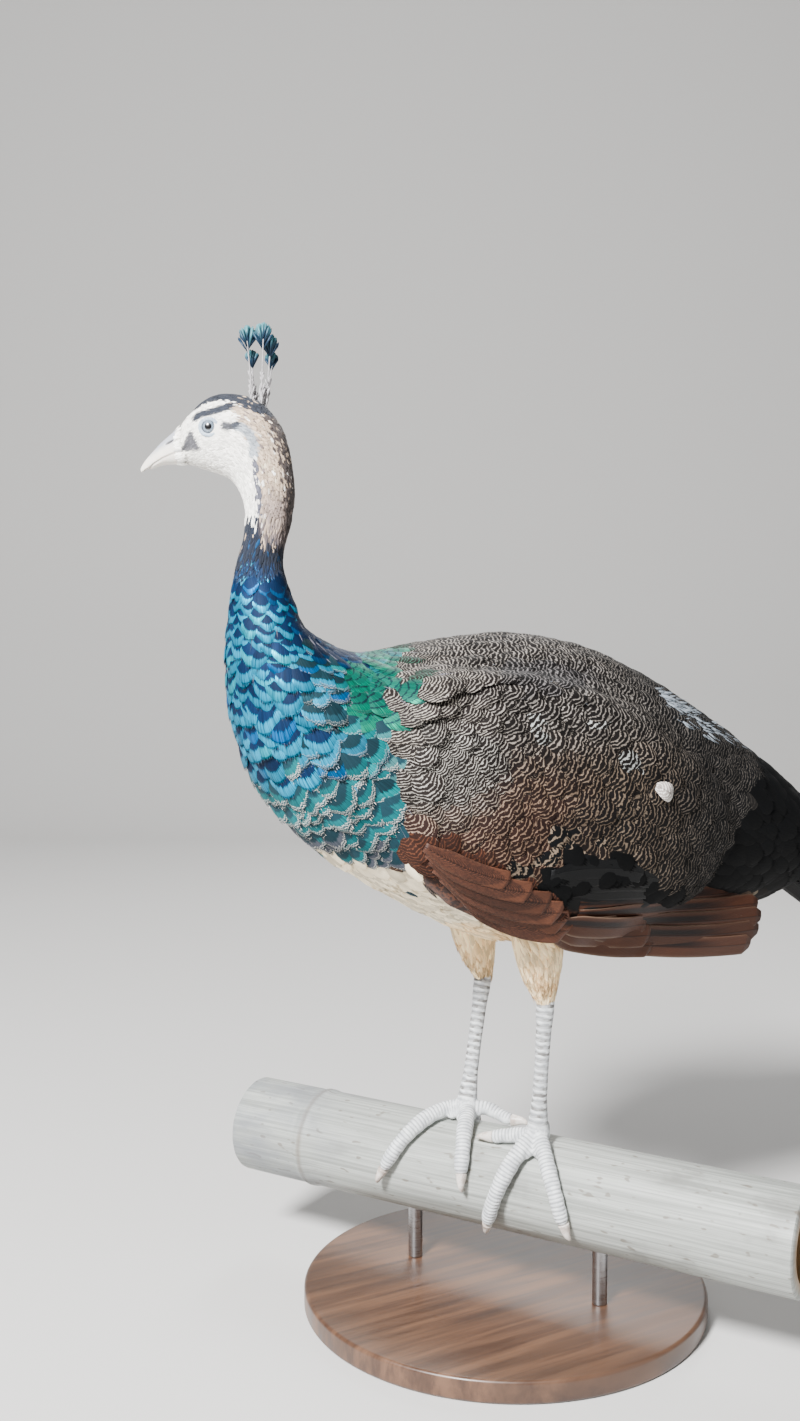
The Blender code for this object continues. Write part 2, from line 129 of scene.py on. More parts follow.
def dense_spine():
    """The spine as a smooth line of many points, its directions and the run along it."""
    points = np.array(SPINE)
    run = np.r_[0, np.cumsum(np.linalg.norm(np.diff(points, axis=0), axis=1))]
    at = np.linspace(0, run[-1], 400)
    line = np.stack([np.interp(at, run, points[:, k]) for k in (0, 1)], 1)
    for _ in range(12):
        line[1:-1] = (line[:-2] + line[2:] + 2 * line[1:-1]) / 4
    along = np.gradient(line, axis=0)
    return line, unit(along), at


SPINE_LINE, SPINE_ALONG, SPINE_RUN = dense_spine()


def on_spine(p):
    """The nearest place on the spine for each point of the unturned bird."""
    near = np.empty(len(p), int)
    for i in range(0, len(p), 20000):
        part = p[i : i + 20000][:, None, ::2] - SPINE_LINE[None]
        near[i : i + 20000] = (part**2).sum(2).argmin(1)
    return near


# ---------------------------------------------------------------- meshes
KINDS = {"FLOAT_VECTOR": ("vector", 3), "FLOAT_COLOR": ("color", 4), "FLOAT": ("value", 1),
         "INT": ("value", 1)}  # what a kind of attribute holds, and how many numbers


def filled(items, key, width, kind=np.float32):
    """One key of many items as an array with width numbers a row."""
    values = np.empty(len(items) * width, kind)
    items.foreach_get(key, values)
    return values if width == 1 else values.reshape(-1, width)


def places_of(mesh):
    return filled(mesh.vertices, "co", 3).astype(float)


def put_points(mesh, points):
    mesh.vertices.foreach_set("co", np.asarray(points, np.float32).ravel())
    mesh.update()


def normals(mesh):
    return filled(mesh.vertex_normals, "vector", 3).astype(float)


def attribute(mesh, name, values, kind="FLOAT_VECTOR"):
    """Stores one value for each vertex."""
    layer = mesh.attributes.get(name) or mesh.attributes.new(name, kind, "POINT")
    layer.data.foreach_set(KINDS[kind][0], np.asarray(values, np.float32).ravel())


def read(mesh, name):
    """One value for each vertex."""
    layer = mesh.attributes[name]
    return filled(layer.data, *KINDS[layer.data_type],
                  np.int32 if layer.data_type == "INT" else np.float32)


def bake_spots(mesh, spots):
    """The map OFBake, from one spot for each vertex."""
    corners = filled(mesh.loops, "vertex_index", 1, np.int32)
    layer = mesh.uv_layers.new(name="OFBake")
    layer.data.foreach_set("uv", spots[corners].astype(np.float32).ravel())


def linked(name, mesh):
    """A new object in the scene."""
    obj = bpy.data.objects.new(name, mesh)
    bpy.context.scene.collection.objects.link(obj)
    return obj


def mesh_of(name, points, faces):
    mesh = bpy.data.meshes.new(name)
    mesh.from_pydata([tuple(p) for p in points], [], faces)
    mesh.update()
    return mesh


@contextmanager
def shaping(mesh, outward=True):
    """The mesh opened to work on, then turned outward and written back."""
    build = bmesh.new()
    build.from_mesh(mesh)
    yield build
    if outward:
        bmesh.ops.recalc_face_normals(build, faces=build.faces)
    build.to_mesh(mesh)
    build.free()


def baked(obj):
    """The object with its modifiers made real."""
    depsgraph = bpy.context.evaluated_depsgraph_get()
    shaped = bpy.data.meshes.new_from_object(
        obj.evaluated_get(depsgraph), preserve_all_data_layers=True, depsgraph=depsgraph
    )
    obj.modifiers.clear()
    obj.data = shaped
    shaped.name = obj.name
    return obj


def remeshed(obj, size, softenings):
    """The object as one skin of small squares, softened a few times."""
    modifier = obj.modifiers.new("remesh", "REMESH")
    modifier.mode, modifier.voxel_size, modifier.adaptivity = "VOXEL", size, 0
    mesh = baked(obj).data
    points = relaxed(mesh, places_of(mesh), softenings)
    put_points(mesh, points)
    return mesh, points


def from_nodes(name, *nodes):
    """A welded copy of CAD nodes as one object."""
    mesh = bpy.data.meshes.new(name)
    with shaping(mesh, outward=False) as build:
        for node_name in nodes:
            build.from_mesh(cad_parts[node_name].data)
        bmesh.ops.remove_doubles(build, verts=build.verts, dist=0.00002)
    return linked(name, mesh)


def surface_of(*nodes):
    """The outside of CAD nodes, to cast rays at."""
    solid = from_nodes("surface_guide", *nodes)
    build = bmesh.new()
    build.from_mesh(solid.data)
    surface = BVHTree.FromBMesh(build)
    build.free()
    bpy.data.objects.remove(solid)
    return surface


def relaxed(mesh, points, times, amount=0.5):
    """Vertex places drawn towards their neighbours' middle."""
    a, b = filled(mesh.edges, "vertices", 2, np.int32).T
    ends, others = np.r_[a, b], np.r_[b, a]
    count = np.bincount(ends, minlength=len(points)).astype(float)[:, None]
    for _ in range(times):
        total = [np.bincount(ends, row[others], len(points)) for row in points.T]
        points = points + amount * (np.stack(total, 1) / count - points)
    return points


def lathe(name, profile, centre, axis, side, sides):
    """A closed turned shape. profile is (along the axis, radius), outside from start."""
    axis, side = Vector(axis).normalized(), Vector(side).normalized()
    other = axis.cross(side)
    points, faces = [], []
    for at, radius in profile:
        for turn in (2 * pi * i / sides for i in range(sides)):
            spoke = side * cos(turn) + other * sin(turn)
            points.append(Vector(centre) + axis * at + spoke * radius)
    rows = len(profile)
    for a in range(0, (rows - 1) * sides, sides):
        for i in range(sides):
            j = (i + 1) % sides
            faces.append((a + i, a + j, a + sides + j, a + sides + i))
    faces.append(tuple(reversed(range(sides))))
    faces.append(tuple(range((rows - 1) * sides, rows * sides)))
    mesh = mesh_of(name, points, faces)
    with shaping(mesh):
        pass  # it only turns the faces outward
    return linked(name, mesh)


def finished(obj, material, slot, *replaced, sharp=None):
    """Shades a piece smooth, gives it its finish and sets it in the frame."""
    if material:
        obj.data.materials.clear()
        obj.data.materials.append(material)
    obj.data.shade_smooth()
    if sharp:
        obj.data.set_sharp_from_angle(angle=radians(sharp))
    if replaced:
        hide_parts(*replaced)
    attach(obj, "root")
    return obj


# ---------------------------------------------------------------- node trees
FLOAT, COLOUR, VECTOR = "NodeSocketFloat", "NodeSocketColor", "NodeSocketVector"


class Value:
    """A node's output that adds and multiplies like a number, by placing maths nodes."""

    def __init__(self, socket):
        self.socket = socket

    def __add__(self, other):
        return maths("ADD", self, other)

    def __sub__(self, other):
        return maths("SUBTRACT", self, other)

    def __rsub__(self, other):
        return maths("SUBTRACT", other, self)

    def __mul__(self, other):
        return maths("MULTIPLY", self, other)


def tree_of(*values):
    """The node tree that values come from."""
    return next(value.socket.id_data for value in values if isinstance(value, Value))


def fill(socket, value):
    """Leads a value into a socket or sets it there. A tuple for a colour is 0 to 255."""
    if isinstance(value, Value):
        socket.id_data.links.new(value.socket, socket)
    elif socket.type == "RGBA":
        socket.default_value = (*paint_rgb(*value), 1)
    else:
        socket.default_value = value


def node(tree, kind, settings=(), **inputs):
    """A node with its settings and inputs, where an underscore stands for a space."""
    made = tree.nodes.new(kind)
    for name, value in dict(settings).items():
        setattr(made, name, value)
    for name, value in inputs.items():
        wanted = name.replace("_", " ")
        fill(next(s for s in made.inputs if s.name == wanted and s.enabled), value)
    return made


def out(made, name=None):
    """A node's output that is in use, by its name or else the first."""
    return Value(next(s for s in made.outputs if s.enabled and name in (None, s.name)))


def maths(operation, *values):
    """The result of a maths node."""
    made = node(tree_of(*values), "ShaderNodeMath", {"operation": operation})
    for socket, value in zip(made.inputs, values):
        fill(socket, value)
    return out(made)


def ramp(value, low, high, to_low=0.0, to_high=1.0):
    """A soft step from to_low to to_high as the value goes from low to high."""
    return out(node(tree_of(value), "ShaderNodeMapRange", {"interpolation_type": "SMOOTHSTEP"},
                    Value=value, From_Min=low, From_Max=high, To_Min=to_low, To_Max=to_high))


def blend(share, one, two, how="MIX"):
    """Two colours mixed by a share."""
    return out(node(tree_of(share, one, two), "ShaderNodeMix",
                    {"data_type": "RGBA", "blend_type": how}, Factor=share, A=one, B=two))


def noise(where, scale, detail=2.0, rough=0.5, distortion=0.0):
    return out(node(tree_of(where), "ShaderNodeTexNoise", Vector=where, Scale=scale,
                    Detail=detail, Roughness=rough, Distortion=distortion))


def grain(where, scales, *details, **more):
    """Noise with a scale of its own along each axis."""
    return noise(out(node(tree_of(where), "ShaderNodeMapping", Vector=where, Scale=scales)),
                 1.0, *details, **more)


def along_axes(value):
    """The x, y and z of a vector."""
    return [Value(s) for s in node(tree_of(value), "ShaderNodeSeparateXYZ", Vector=value).outputs]


def vector(x, y, z):
    return out(node(tree_of(x, y, z), "ShaderNodeCombineXYZ", X=x, Y=y, Z=z))


def group_of(name, kind, inputs, outputs):
    """A new group, its inputs' values by name and the node that takes its results."""
    tree = bpy.data.node_groups.new(name, kind)
    for way, sockets in (("INPUT", inputs), ("OUTPUT", outputs)):
        for label, socket in sockets.items():
            tree.interface.new_socket(label, in_out=way, socket_type=socket)
    given = tree.nodes.new("NodeGroupInput").outputs
    return tree, {s.name: Value(s) for s in given}, tree.nodes.new("NodeGroupOutput")


def feather_group():
    """Colour and relief of one feather: rings of colour towards its tip, bars across it,
    a hairy trim round its end, and the fine lines of its barbs."""
    tree, put, result = group_of(
        "Feather colours", "ShaderNodeTree",
        {"Tone": COLOUR, "Band": COLOUR, "Trim": COLOUR, "Look": VECTOR, "Fine": VECTOR,
         "Vane": VECTOR, "Shade": FLOAT, "Place": VECTOR, "Rings": FLOAT, "Fan": FLOAT,
         "Shaft": FLOAT},
        {"Color": COLOUR, "Height": FLOAT, "Shine": FLOAT},
    )
    u, v, _ = along_axes(put["Vane"])
    banded, barred, trimmed = along_axes(put["Look"])
    bar_count, streaked, shiny = along_axes(put["Fine"])
    away = maths("ABSOLUTE", u)
    ring = ramp(put["Rings"], 0.4, 0.6)

    # fine lines: straight barbs from a shaft, or a fan of soft ones
    salt = put["Shade"] * 37.0
    straight_line = vector(maths("SIGN", u), (v - away * 0.3) * 60.0, salt)
    fan_line = vector(maths("DIVIDE", u, v + 0.30) * 19.0, v * 1.6, salt)
    lines = node(tree, "ShaderNodeMix", {"data_type": "VECTOR"}, Factor=put["Fan"],
                 A=straight_line, B=fan_line)
    streak = noise(out(lines), 1.0, 2.0, 0.6)
    hair = streak - 0.5
    edge = v + u * u * 0.30
    ragged = hair * 0.22 + edge

    def between(low, high, soft):
        ends = ramp(ragged, high - soft, high + soft, 1.0, 0.0)
        return ramp(ragged, low - soft, low + soft) * ends

    band = between(0.68, 0.93, 0.03) * (1.0 - ring) + between(0.66, 0.84, 0.025) * ring
    band = band * banded * ramp(streak, 0.34, 0.50, 0.5, 1.0)

    # wavy bars that carry on from feather to feather, or arcs round the tip
    wave = noise(put["Place"], 85.0, 2.0, 0.6)
    broken = noise(put["Place"], 620.0, 1.0)
    loose = (wave * 2.6 + broken * 0.6) * (1.0 - put["Rings"])
    turns = edge * bar_count + loose + put["Shade"] * 2.0
    bars = maths("SINE", turns * (2 * pi)) + (broken * 2.0 - 0.35)
    marks = maths("MAXIMUM", band, ramp(bars, -0.30, 0.22) * barred)
    colour = blend(marks, put["Tone"], put["Band"])

    # trim: the feather's own end and two fine lines within it
    trim = ramp(ring * -0.045 + (hair * 0.16 + edge), 0.895, 0.95)
    lines = maths("MAXIMUM", between(0.815, 0.828, 0.008), between(0.880, 0.896, 0.008))
    trim = maths("MAXIMUM", trim, lines * (ring * 0.7)) * trimmed
    colour = blend(trim, colour, put["Trim"])

    light = (hair * streaked * 5.0 + 1.0) * ramp(put["Shade"], 0.0, 1.0, 0.72, 1.26)
    light = light * (1.0 - ramp(edge, 0.74, 0.97, 0.0, 0.5) * band)
    shaft = ramp(away, 0.03, 0.09, 1.0, 0.0) * put["Shaft"]
    light = maths("MAXIMUM", light * (shaft * -0.6 + 1.0), 0.12)
    grey = node(tree, "ShaderNodeCombineColor", Red=light, Green=light, Blue=light)
    shine = shiny * (marks * 0.7 + 0.3) * (1.0 - trim)
    for name, value in (("Color", blend(1.0, colour, out(grey), "MULTIPLY")),
                        ("Height", shaft * 0.8 + streak), ("Shine", shine)):
        fill(result.inputs[name], value)
    return tree


def new_material(name):
    """A material with a shader, and its node tree."""
    material = bpy.data.materials.new(name)
    material.use_nodes = True
    return material, material.node_tree


def named(tree, name, output="Fac"):
    """An attribute of the mesh."""
    return out(node(tree, "ShaderNodeAttribute", {"attribute_name": name}), output)


def object_place(tree):
    return out(node(tree, "ShaderNodeTexCoord"), "Object")


def shade(tree, colour, height=None, distance=0.0, strength=0.6, **sockets):
    """Leads a colour, a relief and other values into a material's shader."""
    shader = tree.nodes["Principled BSDF"]
    fill(shader.inputs["Base Color"], colour)
    for name, value in sockets.items():
        fill(shader.inputs[name.replace("_", " ")], value)
    if height:
        bump = node(tree, "ShaderNodeBump", Strength=strength, Distance=distance, Height=height)
        fill(shader.inputs["Normal"], out(bump))


def plumage_material(name, colours, fan, shaft, roughness, sheen, bump, gloss):
    """A finish that draws each feather from the marks stored on its mesh."""
    material, tree = new_material(name)
    marks = {}
    for output, labels in (("Color", ("Tone", "Band", "Trim")),
                           ("Vector", ("Look", "Fine", "Vane")), ("Fac", ("Shade", "Rings"))):
        marks |= {label: named(tree, label.lower(), output) for label in labels}
    group = node(tree, "ShaderNodeGroup", {"node_tree": colours}, **marks,
                 Place=object_place(tree), Fan=fan, Shaft=shaft)
    shine = out(group, "Shine")
    shade(tree, out(group, "Color"), out(group, "Height"), bump, Metallic=shine,
          Roughness=ramp(shine, 0.0, 0.6, roughness, 0.42), Sheen_Weight=sheen,
          Sheen_Roughness=0.5, Specular_IOR_Level=gloss)
    return material


# ---------------------------------------------------------------- markings
NAVY = paint_rgb(8, 30, 58)
AZURE = paint_rgb(0, 132, 167)
CYAN = paint_rgb(0, 148, 170)
DEEP_BLUE = paint_rgb(0, 66, 110)
TEAL = paint_rgb(0, 120, 124)
GREEN = paint_rgb(0, 124, 98)
STEEL_GREY = paint_rgb(104, 104, 116)
PALE_GREY = paint_rgb(186, 188, 184)
DARK_TEAL = paint_rgb(26, 56, 66)
CREAM = paint_rgb(226, 212, 184)
BUFF = paint_rgb(190, 158, 118)
STRAW = paint_rgb(114, 99, 84)
ASH = paint_rgb(136, 131, 126)
BARK = paint_rgb(20, 17, 16)
UMBER = paint_rgb(96, 68, 52)
CHESTNUT = paint_rgb(84, 50, 35)
RUSSET_DARK = paint_rgb(42, 26, 22)
SOOT = paint_rgb(8, 9, 11)
WHITE = paint_rgb(251, 248, 241)
TAN = paint_rgb(172, 152, 132)
TAUPE = paint_rgb(128, 114, 110)
SLATE = paint_rgb(46, 50, 60)
ICE = paint_rgb(176, 188, 200)


def border_x(z):
    """Where the breast meets the back and the wing, at each height."""
    return np.interp(z, (0.25, 0.30, 0.335, 0.353, 0.374, 0.396, 0.41),
                     (-0.128, -0.135, -0.137, -0.131, -0.117, -0.096, -0.092))


def belly_z(x):
    """The height under which the underside is cream, along the body."""
    return np.interp(x, (-0.21, -0.19, -0.17, -0.158, -0.124, 0.0, 0.12, 0.26),
                     (0.20, 0.236, 0.2436, 0.237, 0.2285, 0.215, 0.185, 0.178))


def chestnut_z(x):
    """The height under which the folded wing is chestnut, along it."""
    return np.interp(x, (-0.15, -0.13, -0.11, -0.08, -0.06, -0.03, 0.0, 0.05, 0.25),
                     (0.262, 0.254, 0.258, 0.240, 0.232, 0.212, 0.195, 0.185, 0.18))


def black_top(x):
    """The height under which the wing is black, behind the chestnut."""
    return np.interp(x, (-0.045, -0.03, -0.008, 0.02, 0.05, 0.076, 0.134, 0.17),
                     (0.20, 0.226, 0.240, 0.236, 0.228, 0.212, 0.197, 0.18))


def spot(p, place, size):
    """1 at the place in x and z, falling to 0 about size away."""
    d = ((p[:, 0] - place[0]) / size[0]) ** 2 + ((p[:, 2] - place[1]) / size[1]) ** 2
    return smooth(d, 1.4, 0.5)


def stripe(p, line, width):
    """1 on a line of (x, z) places, falling to 0 beyond half its width."""
    best = np.full(len(p), 9.0)
    q = p[:, ::2]
    for a, b in zip(line, line[1:]):
        a, b = np.array(a), np.array(b)
        t = np.clip(((q - a) @ (b - a)) / ((b - a) @ (b - a)), 0, 1)
        best = np.minimum(best, np.linalg.norm(q - a - t[:, None] * (b - a), axis=1))
    return smooth(best, width * 0.65, width * 0.35)


PALE_SPOTS = (-0.036, 0.335, 0.010), (0.030, 0.345, 0.012), (0.052, 0.300, 0.011)


class Coat:
    """The colours and pattern at each of many places on the bird, the same for the skin
    and the feathers. Places are given from the perch's top line."""

    def __init__(self, p, chance):
        count, self.everywhere = len(p), np.ones(len(p))
        self.h = straight(p)
        self.x, y, self.z = self.h.T
        self.side = np.abs(y)
        self.uneven, self.patchy, self.tiny = (
            ripple(p, size, seed) for size, seed in ((0.045, 1.0), (0.021, 4.0), (0.008, 2.0)))
        # Soft random patches of painted shade, like the shade that falls between groups of
        # feathers.
        self.shade_patches = np.abs(ripple(p, 0.030, 9.0))
        self.specked = smooth(ripple(p, 0.016, 7.0), 0.72, 0.85)
        self.tone = np.tile(STRAW, (count, 1))
        self.band = np.tile(BARK, (count, 1))
        self.trim = np.tile(PALE_GREY, (count, 1))
        self.look = np.zeros((count, 3))  # of band, bars and trim
        self.fine = np.tile((6.0, 0.25, 0.0), (count, 1))  # bars, streaks, shine
        self.rings = np.zeros((count, 1))
        self.chance = chance
        self.mark_back()
        self.mark_wing_edge()
        self.mark_breast()
        self.mark_underside()
        self.mark_neck()
        self.mark_head()

    def blend(self, share, **values):
        """Changes the coat little by little where share is over 0."""
        share = np.clip(share, 0, 1)[:, None]
        for name, value in values.items():
            old = getattr(self, name)
            setattr(self, name, old * (1 - share) + np.array(value) * share)

    def paint(self, share, **values):
        """Changes whole feathers, more of them where share is higher."""
        share = np.clip(share, 0, 1)
        whole = np.clip((share - self.chance) * 30 + 0.5, 0, 1)
        whole = np.where(share < 0.02, 0, np.where(share > 0.98, 1, whole))
        self.blend(whole, **values)

    def past(self, heights, line):
        """How far each place lies behind a line given by its x at some heights."""
        return self.x - np.interp(self.z, heights, line)

    def mark_back(self):
        """Back and wing coverts, black behind, with patches of painted shade."""
        h, x, z, patchy = self.h, self.x, self.z, self.patchy
        self.blend(self.everywhere, tone=STRAW, band=BARK, look=(0, 1.0, 0.12), trim=ASH,
                   fine=(8.2, 0.16, 0))
        self.blend(smooth(z, 0.29, 0.35) * 0.9, tone=ASH, band=BARK * 1.15)
        # Darkens the coat in soft random patches: painted shade between groups of feathers.
        self.blend(self.shade_patches * 0.30, tone=STRAW * 0.55, band=SOOT)
        low_front = smooth(z, 0.33, 0.26) * smooth(x, 0.05, -0.05)
        self.blend(low_front * 0.85, tone=UMBER * 0.9 + STRAW * 0.55, band=RUSSET_DARK * 0.8)
        self.blend(smooth(x, -0.045, -0.120) * smooth(z, 0.25, 0.29) * 0.9,
                   tone=PALE_GREY * 0.34 + TAN * 0.36, band=BARK * 2.0, fine=(13, 0.2, 0))
        self.blend(spot(h, (-0.100, 0.310), (0.035, 0.030)) * 0.6,
                   tone=PALE_GREY * 0.62 + TAN * 0.1)
        # Painted shade: a dark band under the scapulars and a darker patch lower on the wing.
        self.blend(spot(h, (0.0, 0.374), (0.055, 0.012)) * 0.5, tone=STEEL_GREY * 0.5, band=SOOT)
        self.blend(spot(h, (0.018, 0.262), (0.036, 0.022)) * 0.55, tone=STRAW * 0.5, band=SOOT)
        self.blend(smooth(z, 0.30, 0.25) * smooth(x, -0.07, 0.0) * 0.35, tone=STRAW * 0.6)
        rear = smooth(x, 0.03, 0.16)
        self.blend(rear * 0.9, tone=ASH * 0.26, band=SOOT, fine=(12, 0.16, 0.02))
        black = self.past((0.17, 0.22, 0.26, 0.28, 0.31), (0.155, 0.185, 0.205, 0.225, 0.245))
        self.paint(smooth(black + 0.005 * patchy, -0.006, 0.006), tone=SOOT * 0.7,
                   band=SOOT * 0.4, trim=SOOT, look=(0, 0.4, 0), fine=(9, 0.18, 0.12))
        for at_x, at_z, size in PALE_SPOTS:
            self.paint(spot(h, (at_x, at_z), (size, size)) * 0.4, tone=PALE_GREY * 0.75,
                       trim=PALE_GREY)
        by_border = smooth(x - border_x(z), 0.016, 0.002) * smooth(z, 0.32, 0.36)
        self.paint(by_border * 0.35, tone=GREEN * 0.45 + TAUPE * 0.2, trim=GREEN)

    def mark_wing_edge(self):
        """The folded wing's lower edge."""
        h, x, z, side = self.h, self.x, self.z, self.side
        on_wing = smooth(side, 0.052, 0.062) * smooth(x, -0.16, -0.15)
        russet = smooth(z - chestnut_z(x) + 0.003 * self.uneven, 0.004, -0.004) * on_wing
        self.paint(russet, tone=CHESTNUT * 0.95, band=RUSSET_DARK * 0.8, trim=CHESTNUT,
                   look=(0, 0.95, 0.2), fine=(9, 0.2, 0))
        black = smooth(z - black_top(x), 0.004, -0.004) * smooth(x, -0.055, -0.045)
        black *= smooth(x, 0.15, 0.13) * on_wing * smooth(z - chestnut_z(x), -0.002, 0.004)
        self.paint(black, tone=SOOT * 0.5, band=SOOT * 0.4, trim=SOOT, look=(0, 0.2, 0),
                   fine=(3, 0.15, 0.2))
        mottled = stripe(h, ((-0.055, 0.232), (-0.01, 0.252), (0.02, 0.245)), 0.018) * on_wing
        self.paint(mottled * 0.55, tone=STRAW * 1.1, band=SOOT, trim=STRAW * 1.2,
                   look=(0, 1, 0.8), fine=(4, 0.1, 0))

    def mark_breast(self):
        """Neck and breast."""
        x, z = self.x, self.z
        uneven, patchy, tiny = self.uneven, self.patchy, self.tiny
        off_border = border_x(z) - x
        front = smooth(off_border + 0.003 * patchy, -0.004, 0.004) * smooth(z, 0.19, 0.2)
        self.paint(front, tone=NAVY, band=AZURE, trim=STEEL_GREY, look=(1, 0, 0.35),
                   fine=(4, 0.42, 0.55))
        self.paint(front * smooth(patchy, -0.3, 0.9) * 0.7, band=CYAN)
        self.paint(front * smooth(uneven, 0.1, 0.9) * 0.7, band=DEEP_BLUE * 1.6)
        heights = 0.25, 0.32, 0.37, 0.42
        backwards = self.past(heights, (-0.190, -0.208, -0.198, -0.182))
        backwards = smooth(backwards + 0.010 * patchy, -0.026, 0.026)
        self.paint(front * backwards, tone=DARK_TEAL * 0.55, band=AZURE * 0.9, trim=ICE * 1.1,
                   look=(1, 0, 0.85), fine=(4, 0.30, 0.45), rings=1)
        teal = self.past(heights, (-0.172, -0.182, -0.186, -0.182))
        teal = smooth(teal + 0.012 * uneven, -0.022, 0.022)
        self.paint(front * teal, band=TEAL)
        self.paint(front * teal * smooth(uneven, -0.4, 0.9) * 0.5, band=AZURE * 0.8)
        self.paint(front * backwards * smooth(tiny, -0.2, 0.8) * 0.5, band=DEEP_BLUE * 1.5)
        self.paint(front * backwards * smooth(patchy, 0.1, -0.7) * 0.5, band=DARK_TEAL * 1.8,
                   trim=PALE_GREY)
        self.paint(front * smooth(z, 0.425, 0.450) * 0.92, band=DEEP_BLUE * 0.75, trim=SLATE)
        emerald = smooth(x, -0.185, -0.150) * smooth(z, 0.325, 0.350)
        self.paint(front * emerald, band=GREEN * 0.85, tone=DARK_TEAL * 0.5,
                   trim=STEEL_GREY * 0.8, look=(1, 0.5, 0.6), fine=(5.5, 0.45, 0.45), rings=1)
        self.paint(front * teal * smooth(patchy, 0.2, 0.9) * 0.5, band=GREEN)
        self.paint(front * emerald * smooth(tiny, -0.1, 0.8) * 0.6, band=TEAL)
        silver = smooth(off_border, 0.028, 0.004) * smooth(z, 0.362, 0.335)
        self.paint(front * silver * 0.75, tone=DARK_TEAL * 0.7,
                   band=TEAL * 0.6 + PALE_GREY * 0.10, trim=WHITE, look=(0.9, 0, 1.0),
                   fine=(8, 0.25, 0.1), rings=1)
        # The rear of the neck is darker: partly its own deep blue, partly painted shade on the
        # side turned from the light.
        hind = self.past((0.38, 0.40, 0.42, 0.45), (-0.180, -0.196, -0.210, -0.220))
        hind = smooth(hind + 0.004 * patchy, -0.010, 0.010)
        hind *= smooth(z, 0.375, 0.390) * smooth(z, 0.475, 0.44) * smooth(x, -0.130, -0.150)
        self.paint(front * hind * 0.85, tone=NAVY * 0.7, band=DEEP_BLUE * 0.7, trim=SLATE,
                   look=(0.9, 0, 0.3), fine=(4, 0.3, 0.4), rings=0)
        low = smooth(z, 0.318, 0.280)
        self.paint(front * low, tone=DARK_TEAL * 0.8, band=TEAL * 0.55 + DARK_TEAL * 0.3,
                   trim=WHITE * 1.15, look=(0.9, 0, 1.0), fine=(4, 0.16, 0.2), rings=1)
        self.paint(front * smooth(z, 0.262, 0.240) * 0.8, tone=DARK_TEAL * 0.6,
                   band=STEEL_GREY * 0.7, trim=WHITE * 1.15, look=(0.6, 0, 1.0),
                   fine=(4, 0.12, 0), rings=1)

    def mark_underside(self):
        """Belly, vent and thighs."""
        x, z, side = self.x, self.z, self.side
        uneven, patchy = self.uneven, self.patchy
        under = smooth(z - belly_z(x) - 0.003 * patchy, 0.004, -0.004)
        inner = np.interp(x, (-0.13, -0.11, 0.14, 0.17), (0.075, 0.060, 0.060, 0.075))
        under *= smooth(side, inner, inner - 0.008)
        self.paint(under, tone=CREAM, band=CREAM * 0.6, trim=CREAM * 1.05, look=(0, 0, 0.5),
                   fine=(3, 0.10, 0), rings=0)
        speck = self.specked * under * smooth(x, -0.05, -0.11)
        self.paint(speck * 0.6, tone=DARK_TEAL)
        vent = under * smooth(x, 0.07, 0.15)
        self.blend(vent, tone=UMBER * 0.8, band=BARK, look=(0, 0.3, 0))
        self.blend(under * smooth(x, 0.2, 0.26), tone=SOOT * 1.5)
        leg = smooth(z, 0.186, 0.172) * smooth(np.abs(x), 0.06, 0.05)
        leg *= np.maximum(smooth(z, 0.168, 0.162), smooth(side, 0.071, 0.066))
        self.blend(leg, tone=CREAM * (1.34, 1.20, 0.98), band=BUFF, look=(0, 0, 0.3),
                   fine=(3, 0.10, 0), rings=0)
        self.blend(leg * smooth(uneven + 0.6 * patchy, -0.3, 0.9) * 0.7,
                   tone=BUFF * (1.05, 0.95, 0.8), trim=BUFF)

    def mark_neck(self):
        """The streaky upper neck."""
        x, z, patchy, tiny = self.x, self.z, self.patchy, self.tiny
        streaky = smooth(z + 0.004 * patchy, 0.446, 0.458)
        self.paint(streaky, tone=paint_rgb(16, 24, 38), band=NAVY, trim=STEEL_GREY,
                   look=(0, 0, 0.5), fine=(4, 0.25, 0.05), rings=0)
        self.paint(streaky * smooth(z, 0.456, 0.472) * (0.22 + 0.1 * tiny), tone=TAN, trim=TAN)
        self.paint(streaky * smooth(z, 0.484, 0.466) * (0.08 + 0.10 * tiny), tone=DEEP_BLUE * 0.6)
        rear_side = smooth(x, -0.2185, -0.209)
        self.blend(smooth(z, 0.462, 0.475) * rear_side * 0.9, tone=TAUPE, fine=(3, 0.15, 0))
        self.paint(streaky * rear_side * smooth(tiny, 0.2, 0.8) * 0.6, tone=SLATE)

    def mark_head(self):
        """Face, cheek, nape and crown."""
        h, x, z, patchy, tiny = self.h, self.x, self.z, self.patchy, self.tiny
        head = smooth(z + 0.30 * (x + 0.2285) + 0.003 * tiny, 0.473, 0.496)
        head *= smooth(z, 0.45, 0.46)
        self.paint(head, tone=WHITE, band=TAN, trim=WHITE, look=(0, 0, 0), fine=(3, 0.05, 0))
        buffy = self.past((0.49, 0.51, 0.54, 0.565, 0.58),
                          (-0.216, -0.2145, -0.219, -0.232, -0.238))
        buffy = head * smooth(buffy, -0.004, 0.006)
        self.paint(buffy * 0.975, tone=TAN * 1.15, band=TAUPE, trim=TAUPE * 0.8,
                   look=(0, 0, 0.7), fine=(3, 0.15, 0))
        self.paint(buffy * smooth(tiny, 0.0, 0.8) * 0.5, tone=TAUPE * 0.85)
        self.paint(buffy * smooth(tiny, 0.1, -0.7) * 0.15, tone=CREAM * 0.8)
